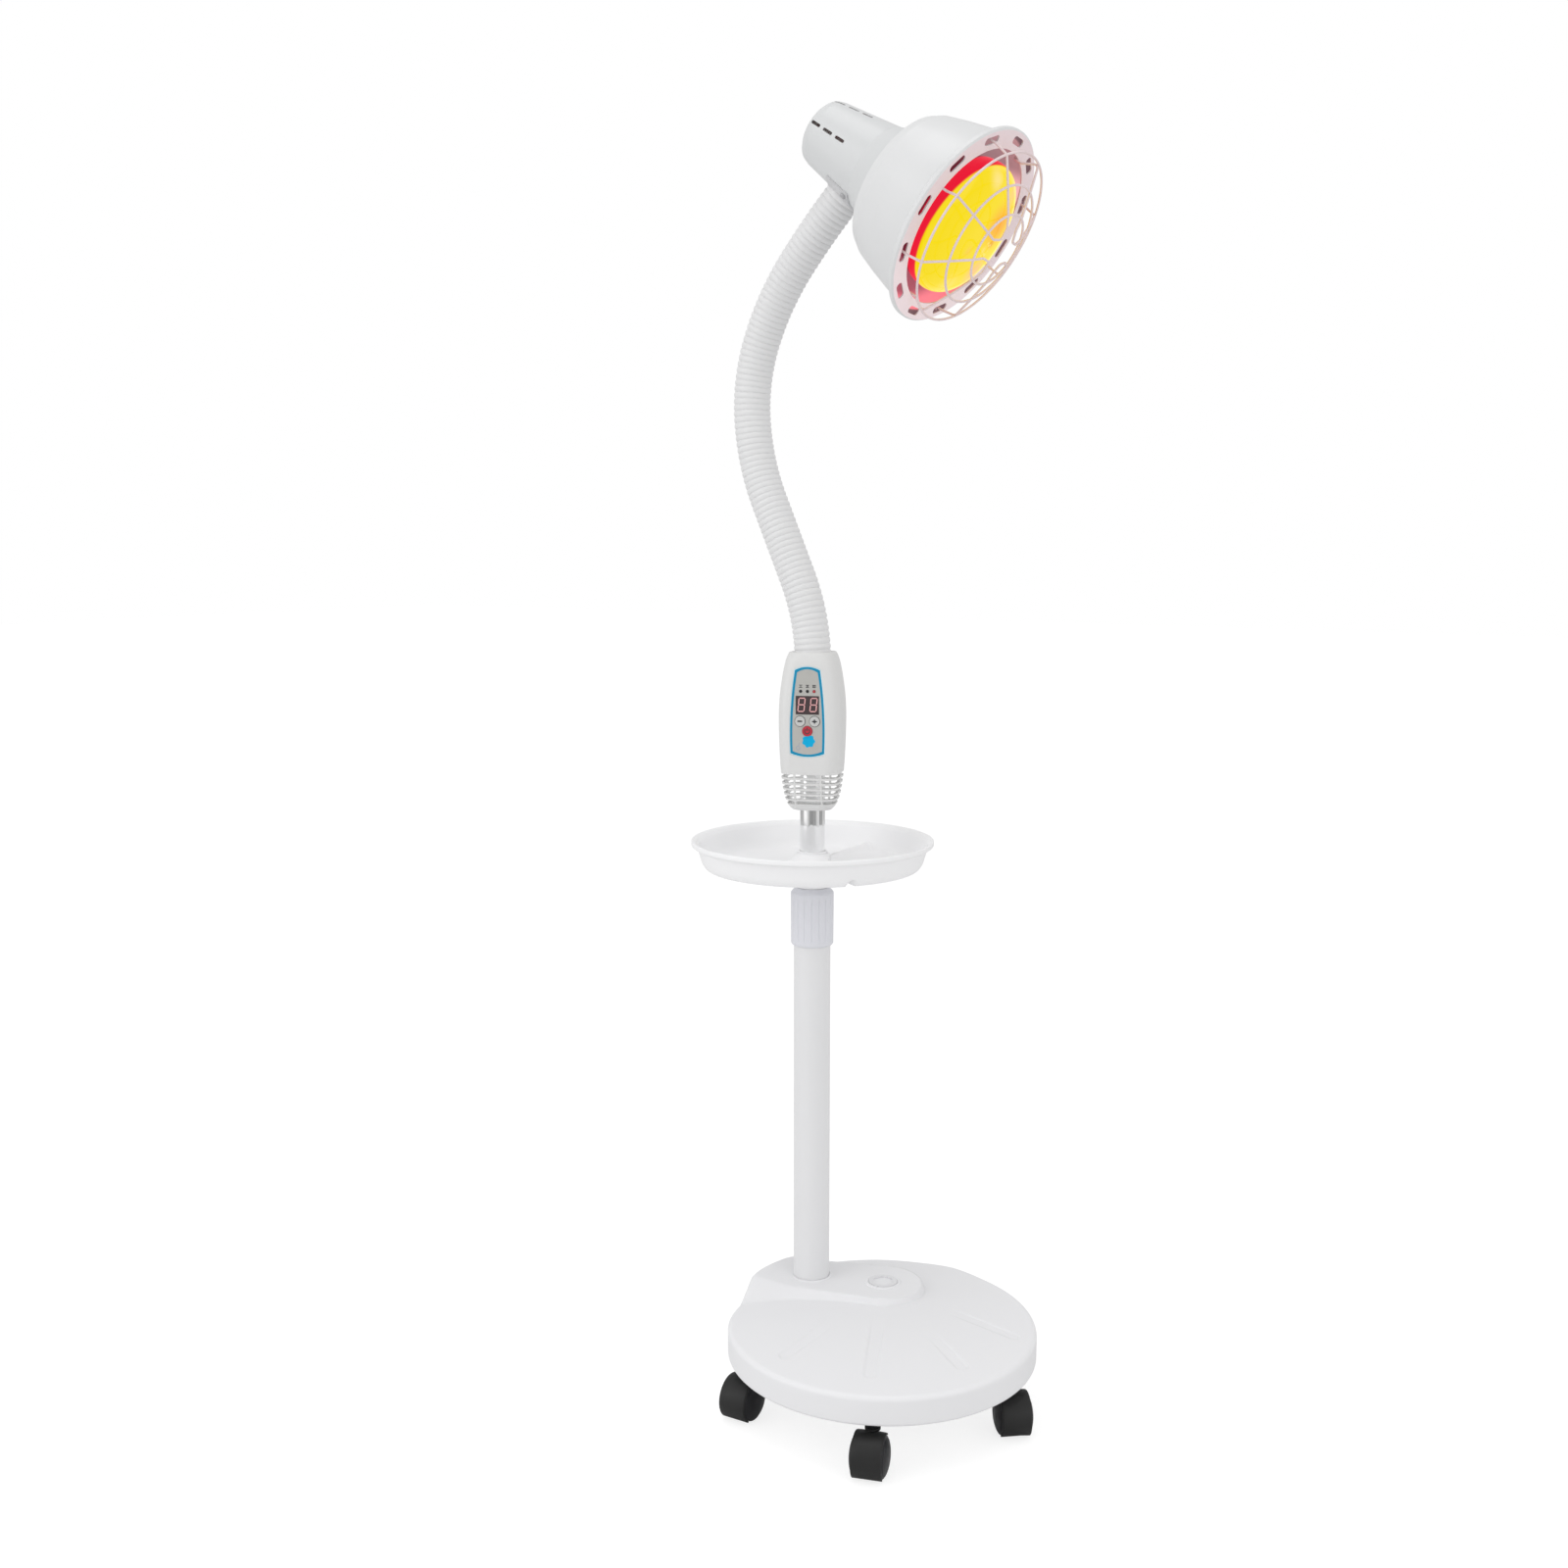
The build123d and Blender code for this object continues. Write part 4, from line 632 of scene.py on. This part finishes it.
def label_edge(inset, steps=24):
    """The label's outline drawn in by one width: four shallow arcs through its corners, each one
    bowed by four times the share of the way along it times the share that is left."""
    low, high = LABEL_FOOT + inset + LABEL_ARC, LABEL_TOP - inset - LABEL_ARC
    top, foot = LABEL_HALF_TOP - inset, LABEL_HALF_FOOT - inset
    t = np.linspace(0, 1, steps, endpoint=False)
    bow = 4 * t * (1 - t)
    belly = LABEL_HALF_MIDDLE - inset - (top + foot) / 2
    upper = np.stack([-top + 2 * top * t, high + LABEL_ARC * bow], 1)
    right = np.stack([top + (foot - top) * t + belly * bow, high + (low - high) * t], 1)
    lower = np.stack([foot - 2 * foot * t, low - LABEL_ARC * bow], 1)
    left = np.stack([-foot + (foot - top) * t - belly * bow, low + (high - low) * t], 1)
    return np.concatenate([upper, right, lower, left])


def bar(x, z, length, width, turn=0.0):
    """A short bar with pointed ends about (x, z), as a strip from its outline to its middle line."""
    half, thick = length / 2, width / 2
    outline = np.array([(-half, 0), (-half + thick, thick), (half - thick, thick), (half, 0),
                        (half - thick, -thick), (-half + thick, -thick)])
    middle = np.clip(outline, (-half + thick, 0), (half - thick, 0))
    c, s = np.cos(np.radians(turn)), np.sin(np.radians(turn))
    spin = np.array([(c, s), (-s, c)])
    return outline @ spin + (x, z), middle @ spin + (x, z)


def ring(x, z, outer, inner, start=0, end=360):
    """A flat ring, or an arc of it between two angles from the top."""
    whole = end - start == 360
    angle = np.radians(np.linspace(start, end, 49)[:-1] if whole else np.linspace(start, end, 40))
    way = np.stack([np.sin(angle), np.cos(angle)], 1)
    if whole:
        return way * outer + (x, z), way * inner + (x, z)
    outline = np.concatenate([way * outer, way[::-1] * inner])
    middle = np.concatenate([way, way[::-1]]) * (outer + inner) / 2
    return outline + (x, z), middle + (x, z)


SUN_X, SUN_Z = 1.2, 641.6
KEY_X, KEY_Z, POWER_Z = 7.2, 660.5, 651.0
LAMP_STEP, LAMP_Z = 6.6, 689.4

silver_foil = finish("silver foil", (0.485, 0.48, 0.455), (0.38, 0.5), cloud=(60, 0.05), Metallic=0.25)
dress("panel_label", silver_foil)
blue_ink = finish("blue ink", (0.004, 0.26, 0.46), (0.45, 0.55), cloud=(40, 0.05),
                  Specular_IOR_Level=0.25)
sun_ink = finish("sun ink", (0.0, 0.40, 0.70), (0.45, 0.55), cloud=(40, 0.05), Specular_IOR_Level=0.2)
pale_ink = finish("pale ink", (0.62, 0.84, 0.90), (0.35, 0.45), cloud=(40, 0.03))
dark_ink = finish("dark ink", (0.035, 0.035, 0.04), (0.4, 0.5), cloud=(40, 0.1))
grey_ink = finish("grey ink", (0.30, 0.36, 0.48), (0.4, 0.5), cloud=(40, 0.05))
printed("label_pale_edge", [(label_edge(0.0), label_edge(0.8))], 0.03, pale_ink, "label_foil")
printed("label_border", [(label_edge(0.6), label_edge(2.8))], 0.05, blue_ink, "label_foil")

# The sun's edge is a circle whose radius waves with the angle: seven low rays, made uneven by a
# smaller wave.
angle = np.linspace(0, 2 * np.pi, 140, endpoint=False)
rays = 6.0 + 0.55 * np.cos(7 * angle + 0.8) + 0.45 * np.cos(4 * angle) * np.sin(3 * angle + 0.4)
sun = np.stack([rays * np.cos(angle) + SUN_X, rays * np.sin(angle) + SUN_Z], 1)
sun_middle = sun * 0.001 + np.array((SUN_X, SUN_Z)) * 0.999
printed("label_sun", [(sun, sun_middle)], 0.03, sun_ink, "label_foil")

# A ring is printed round each grey button. Over each lamp stand one, two or three strokes between
# two bars, and a small grey drop stands beside the sun.
marks = [ring(x, KEY_Z, 5.4, 4.8) for x in (-KEY_X, KEY_X)]
for k in range(3):
    lamp_x = LAMP_STEP * (k - 1)
    marks.append(bar(lamp_x, LAMP_Z + 6.0, 3.6, 0.6))
    marks.append(bar(lamp_x, LAMP_Z + 3.8, 3.6, 0.6))
    for i in range(k + 1):
        marks.append(bar(lamp_x + 1.2 * (i - k / 2), LAMP_Z + 4.9, 2.4, 0.7, 90))
printed("label_marks", marks, 0.03, dark_ink, "label_foil")
drop = [ring(-9.0, 634.4, 2.0, 1.5), bar(-8.2, 638.0, 3.6, 0.5, 70)]
printed("label_drop", drop, 0.03, grey_ink, "label_foil")

# The window is deep brown, with two digits of seven bars each behind it. They lean to the right by
# a tenth of their height.
DIGIT_Z, DIGIT_HALF, DIGIT_LEAN = 676.4, 6.4, 0.1
dress("display", finish("tinted window", (0.055, 0.035, 0.037), (0.12, 0.18), cloud=(40, 0.1)))
digit_glow = finish("digit bars", (0.80, 0.42, 0.42), (0.3, 0.4), cloud=(60, 0.1))
shader = digit_glow.node_tree.nodes["Principled BSDF"]
shader.inputs["Emission Color"].default_value = (0.62, 0.25, 0.27, 1)
shader.inputs["Emission Strength"].default_value = 0.10
bars = []
for middle in (-5.8, 6.0):
    for row in (-DIGIT_HALF, 0, DIGIT_HALF):
        bars.append(bar(middle + row * DIGIT_LEAN, DIGIT_Z + row, 5.6, 1.0))
    for column in (-3.0, 3.0):
        for row in (-DIGIT_HALF / 2, DIGIT_HALF / 2):
            bars.append(bar(middle + column + row * DIGIT_LEAN, DIGIT_Z + row, 6.0, 1.0, 84))
printed("display_digits", bars, -0.25, digit_glow, "display_window")

# Three dark lamps, the third one red, over the window.
dress("status_leds", finish("lamp lens", (0.02, 0.02, 0.022), (0.12, 0.2)))
red_lens = finish("red lens", (0.45, 0.05, 0.06), (0.12, 0.2))
printed("lit_lens", [ring(LAMP_STEP, LAMP_Z, 1.35, 0.01)], 0.33, red_lens, "led_lens")

# Two grey buttons marked less and more, and a red one marked with the off sign.
grey_key = finish("grey button", (0.56, 0.56, 0.55), (0.4, 0.5))
dress("left_button", grey_key)
dress("right_button", grey_key)
dress("power_button", finish("red button", (0.50, 0.022, 0.045), (0.35, 0.45), cloud=(200, 0.15)))


def key_mark(name, shapes, body, slot):
    """Marks on a button's face, which ride with it: flat strips between two outlines each."""
    grids = []
    for shape in shapes:
        pair = np.stack(shape)
        grids.append(np.stack([pair[..., 0], 0 * pair[..., 0] + KEY_FACE, pair[..., 1]], -1) * MM)
    fit(skin(name, [placed(grid, FRONT_TURN) for grid in grids]), body, slot, dark_ink)


more = [bar(KEY_X, KEY_Z, 5.4, 1.4), bar(KEY_X, KEY_Z, 4.6, 1.4, 90)]
off = [ring(0, POWER_Z, 2.9, 2.0, 35, 325), bar(0, POWER_Z + 1.8, 3.4, 1.1, 90)]
key_mark("less_mark", [bar(-KEY_X, KEY_Z, 5.4, 1.5)], "left_key", "grey_key")
key_mark("more_mark", more, "right_key", "grey_key")
key_mark("off_mark", off, "power_key", "red_key")


# ---------------------------------------------------------------- gooseneck
# A steel gooseneck inside a white corrugated plastic sleeve. The sleeve is one ribbed tube; it is made in
# lengths that meet halfway between the bends.

NECK_STEP, NECK_FOOT_Z, NECK_LEAN = 78.8, 722, -2.5
NECK_TURNS = np.array((-21.5, 0.0, 19.5, 25.5, 18.0, 6.5))
NECK_LENGTHS = len(NECK_TURNS)
SLEEVE_R, GROOVE_DEPTH = 17.9, 1.15
RINGS = 14


def neck_line(along):
    """Places and headings along the gooseneck: the heading changes evenly over each step, and the
    place is the running sum of short pieces along it."""
    fine = np.linspace(0, NECK_STEP * NECK_LENGTHS + 20, 4001)
    heads = np.concatenate([[0], np.cumsum(NECK_TURNS)]) + NECK_LEAN
    heading = np.radians(np.interp(fine, np.arange(NECK_LENGTHS + 1) * NECK_STEP, heads))
    step = fine[1] - fine[0]
    x = np.concatenate([[0], np.cumsum((np.sin(heading[1:]) + np.sin(heading[:-1])) / 2) * step])
    z = np.concatenate([[0], np.cumsum((np.cos(heading[1:]) + np.cos(heading[:-1])) / 2) * step])
    z = z + NECK_FOOT_Z
    return np.interp(along, fine, x), np.interp(along, fine, z), np.interp(along, fine, heading)


def sleeve(start, end):
    """Ribbed tube along part of the gooseneck: rounded rings with a narrow groove between each two.
    The radius is least at a groove and grows towards the ring's middle with a power of the sine of
    the place in the ring."""
    rows = int(round((end - start) / NECK_STEP * RINGS * 12)) + 1
    along = np.linspace(start, end, rows)
    x, z, heading = neck_line(along)
    phase = np.abs(np.sin(np.pi * along / (NECK_STEP / RINGS)))
    radius = SLEEVE_R - GROOVE_DEPTH * (1 - phase ** 0.7)
    angle = np.linspace(0, 2 * np.pi, 56, endpoint=False)
    out = radius[:, None] * np.cos(angle)
    side = radius[:, None] * np.sin(angle)
    return np.stack([x[:, None] + out * np.cos(heading)[:, None], side,
                     z[:, None] - out * np.sin(heading)[:, None]], -1) * MM


sleeve_plastic = finish("sleeve plastic", (0.76, 0.76, 0.765), (0.36, 0.46), cloud=(12, 0.015))
neck_steel = finish("gooseneck steel", (0.30, 0.30, 0.31), (0.35, 0.5), Metallic=1.0)
for k in range(NECK_LENGTHS):
    dress("neck_core_" + str(k + 1), neck_steel)
foot = skin("sleeve_foot", [sleeve(-1.0, NECK_STEP * 0.5)], crease=80)
fit(foot, "mast", "sleeve_plastic", sleeve_plastic, "neck_sleeve_1")

# Each length runs from the middle of one step of the gooseneck to the middle of the next.
for k in range(NECK_LENGTHS - 1):
    start, end = NECK_STEP * (k + 0.5), NECK_STEP * (k + 1.5)
    bend = skin("sleeve_bend_" + str(k + 1), [sleeve(start, end)], crease=80)
    bend.data.materials.append(sleeve_plastic)
    if k == 3:
        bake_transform(bend)
    else:
        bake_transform(bend)
    if k:
        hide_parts("neck_sleeve_" + str(k + 1))
last_start, last_end = NECK_STEP * (NECK_LENGTHS - 0.5), NECK_STEP * NECK_LENGTHS + 9
sleeve_end = skin("sleeve_end", [sleeve(last_start, last_end)], crease=80)
fit(sleeve_end, "head", "sleeve_plastic", sleeve_plastic, "neck_sleeve_6")


# ---------------------------------------------------------------- lamp head
# A conical rear housing and a pressed bell of white enamelled steel, with a slotted flange. The lit bulb's
# light on the bell's inside and the flange is painted on, in pink and red.

HEAD_TILT = np.radians(34.1)
FLANGE = np.array((157.7, 0, 1108.6)) * MM
BACK = np.array((-np.cos(HEAD_TILT), 0, np.sin(HEAD_TILT)))
UP = np.array((np.sin(HEAD_TILT), 0, np.cos(HEAD_TILT)))

enamel = finish("lamp enamel", (0.68, 0.69, 0.695), (0.26, 0.34), cloud=(6, 0.01))
dress("lamp_housing", enamel)

# The bell is enamelled alike inside and out; the bulb's light and the shade inside it are painted on.
# Inside, the wall's colour is painted a dark pink, and a painted glow from the bulb is palest on the upper
# wall at the far side and red low down near the rim. The flange's front is painted a faint pink, with a
# faint painted glow that is weaker low down.
bell_enamel_painted_light = finish("bell enamel with painted light", (0.745, 0.75, 0.755), (0.26, 0.34), cloud=(6, 0.01))
tree = bell_enamel_painted_light.node_tree
shader = tree.nodes["Principled BSDF"]
sockets = tree.nodes.new("ShaderNodeTexCoord").outputs
place = measure(tree, "SUBTRACT_V", sockets["Object"], tuple(FLANGE))
depth = measure(tree, "DOT_PRODUCT", place, tuple(BACK))
height = measure(tree, "DOT_PRODUCT", place, tuple(UP))
facing_back = measure(tree, "DOT_PRODUCT", sockets["Normal"], tuple(BACK))
facing_place = measure(tree, "DOT_PRODUCT", sockets["Normal"], place)
outward = measure(tree, "SUBTRACT", facing_place, measure(tree, "MULTIPLY", depth, facing_back))
before_throat = between(tree, depth, 0.078, 0.072)
in_bell = measure(tree, "MULTIPLY", between(tree, depth, 0.0012, 0.0030), before_throat)
inside = measure(tree, "MULTIPLY", between(tree, outward, 0.012, -0.012), in_bell)
at_front = between(tree, depth, 0.004, 0.001)
front = measure(tree, "MULTIPLY", between(tree, facing_back, -0.80, -0.97), at_front)
fading = between(tree, depth, 0.100, 0.040)
near = measure(tree, "MULTIPLY", between(tree, depth, 0.0068, 0.0084), fading)
low_part = between(tree, height, 0.015, -0.045)
across = measure(tree, "DOT_PRODUCT", place, tuple(0.895 * np.array((0, 1, 0)) - 0.447 * UP))
light = blended(tree, between(tree, across, 0.022, 0.044), (0.22, 0.15, 0.16), (0.72, 0.42, 0.44))
low_light = blended(tree, between(tree, depth, 0.018, 0.032), (0.78, 0.17, 0.22), (0.26, 0.05, 0.08))
light = blended(tree, low_part, light, low_light)
# Painted shade: the inner wall's own colour is painted dark pink, darkest where the painted glow is weak.
painted_wall_shade = blended(tree, near, (0.16, 0.11, 0.12), (0.40, 0.26, 0.28))
outer = shader.inputs["Base Color"].links[0].from_socket
colour = blended(tree, front, outer, (0.72, 0.62, 0.64))
tree.links.new(blended(tree, inside, colour, painted_wall_shade), shader.inputs["Base Color"])
light = blended(tree, near, (0.13, 0.08, 0.09), light)
light = blended(tree, inside, (0, 0, 0), light)
rim_low = between(tree, height, -0.01, -0.06)
rim_light = blended(tree, rim_low, (0.13, 0.10, 0.11), (0.22, 0.185, 0.195))
tree.links.new(blended(tree, front, light, rim_light), shader.inputs["Emission Color"])
shader.inputs["Emission Strength"].default_value = 1.0
dress("bell", bell_enamel_painted_light)

dress("neck_bracket", finish("zinc plate", (0.70, 0.70, 0.71), (0.35, 0.45), Metallic=0.5))
dress("bracket_screws", bright_steel)
dress("lamp_holder", finish("porcelain", (0.75, 0.74, 0.71), (0.1, 0.2)))
dress("bulb_cap", finish("brass", (0.6, 0.48, 0.26), (0.3, 0.4), Metallic=1.0))
# Painted light: the guard's white wire is painted pink, for the red bulb's light falling on it.
dress("guard", finish("guard wire with painted pink light", (0.80, 0.66, 0.67), (0.30, 0.40), cloud=(30, 0.12)))


# ---------------------------------------------------------------- bulb
# A reflector bulb of ruby glass, lit: its face glows yellow, deeper towards the filament, and its
# shoulder red. The back is dark, for it is silvered inside.

FACE = 20.0


def glow_colour(up, side, depth):
    """Light of the glass at each point, given by its offsets in millimetres up, to the side and back from
    the flange's middle: yellow on the face, turning orange in soft round patches about the filament's bright
    ring, with a pale patch high on the face that is a painted highlight, and red on the shoulder, with a
    smooth step between; dark behind."""
    yellow = np.array((0.90, 0.71, 0.0))
    colour = np.broadcast_to(yellow, up.shape + (3,)).copy()
    # The pale patch 50 mm up is a painted highlight, a reflection on the glass.
    patches = ((16, 20, 30, (0.93, 0.40, 0.012), 1.0), (-30, 26, 20, (0.92, 0.48, 0.22), 0.75),
               (-48, -2, 16, (0.94, 0.76, 0.14), 0.7), (50, -14, 13, (0.97, 0.80, 0.35), 0.6),
               (44, 22, 13, (0.88, 0.52, 0.22), 0.6), (-14, -9, 8, (0.92, 0.55, 0.10), 0.5),
               (-9, 16, 7, (0.95, 0.70, 0.10), 0.8), (-2, 24, 6, (0.70, 0.22, 0.01), 0.6))
    for u, v, size, tint, share in patches:
        soft = share * ease(1 - np.hypot(up - u, side - v) / size)[..., None]
        colour = colour * (1 - soft) + np.array(tint) * soft
    filament = ease(1 - np.abs(np.hypot(up + 8, side - 19) - 5.5 + 1.5 * np.sin(side)) / 0.9)[..., None]
    colour = colour * (1 - 0.8 * filament) + np.array((1.0, 0.86, 0.30)) * 0.8 * filament
    edge = ease((depth + 1.2 + 0.05 * up) / 1.6)[..., None]
    colour = colour * (1 - edge) + np.array((0.80, 0.006, 0.032)) * edge
    behind = ease((depth - 10.0) / 5.0)[..., None]
    return colour * (1 - behind) + np.array((0.10, 0.004, 0.015)) * behind


# The outline is walked evenly, with close rows over the face, where the light changes most.
outline = rounded([(0, 0, 0), (22, 0.7, 9), (42, 3.6, 8), (54, 8.0, 5), (60.5, 14.0, 3.5), (62.5, 22.0, 4),
                   (61.0, 34.0, 5), (53.0, 51.0, 6), (41.0, 73.0, 8), (30.0, 96.0, 8), (21.5, 120.0, 8),
                   (16.0, 143.0, 6), (13.2, 155.0, 0)], 9)
run = np.concatenate([[0], np.cumsum(np.hypot(*np.diff(outline, axis=0).T))])
even = np.concatenate([np.linspace(0, 0.090, 110), np.linspace(0.092, run[-1], 60)])
outline = np.stack([np.interp(even, run, outline[:, 0]), np.interp(even, run, outline[:, 1]) - FACE * MM], 1)
lamp_place = Matrix(((UP[0], 0, BACK[0], FLANGE[0]), (0, 1, 0, 0), (UP[2], 0, BACK[2], FLANGE[2]),
                     (0, 0, 0, 1)))
bulb = skin("bulb_glass", [placed(turned(outline, 200), lamp_place)], crease=80)
spots = np.empty(len(bulb.data.vertices) * 3)
bulb.data.vertices.foreach_get("co", spots)
spots = (spots.reshape(-1, 3) - FLANGE) / MM
glow_layer = bulb.data.color_attributes.new("glow", "FLOAT_COLOR", "POINT")
shade = glow_colour(spots @ UP, spots[:, 1], spots @ BACK)
glow_layer.data.foreach_set("color", np.concatenate([shade, np.ones((len(shade), 1))], 1).ravel())
ruby = finish("ruby glass", (0.03, 0.004, 0.004), (0.05, 0.09), cloud=(30, 0.2), Specular_IOR_Level=0.3)
tree = ruby.node_tree
reader = tree.nodes.new("ShaderNodeVertexColor")
reader.layer_name = "glow"
tree.links.new(reader.outputs["Color"], tree.nodes["Principled BSDF"].inputs["Emission Color"])
tree.nodes["Principled BSDF"].inputs["Emission Strength"].default_value = 1.0
fit(bulb, "head", "ruby_glass", ruby, "bulb")
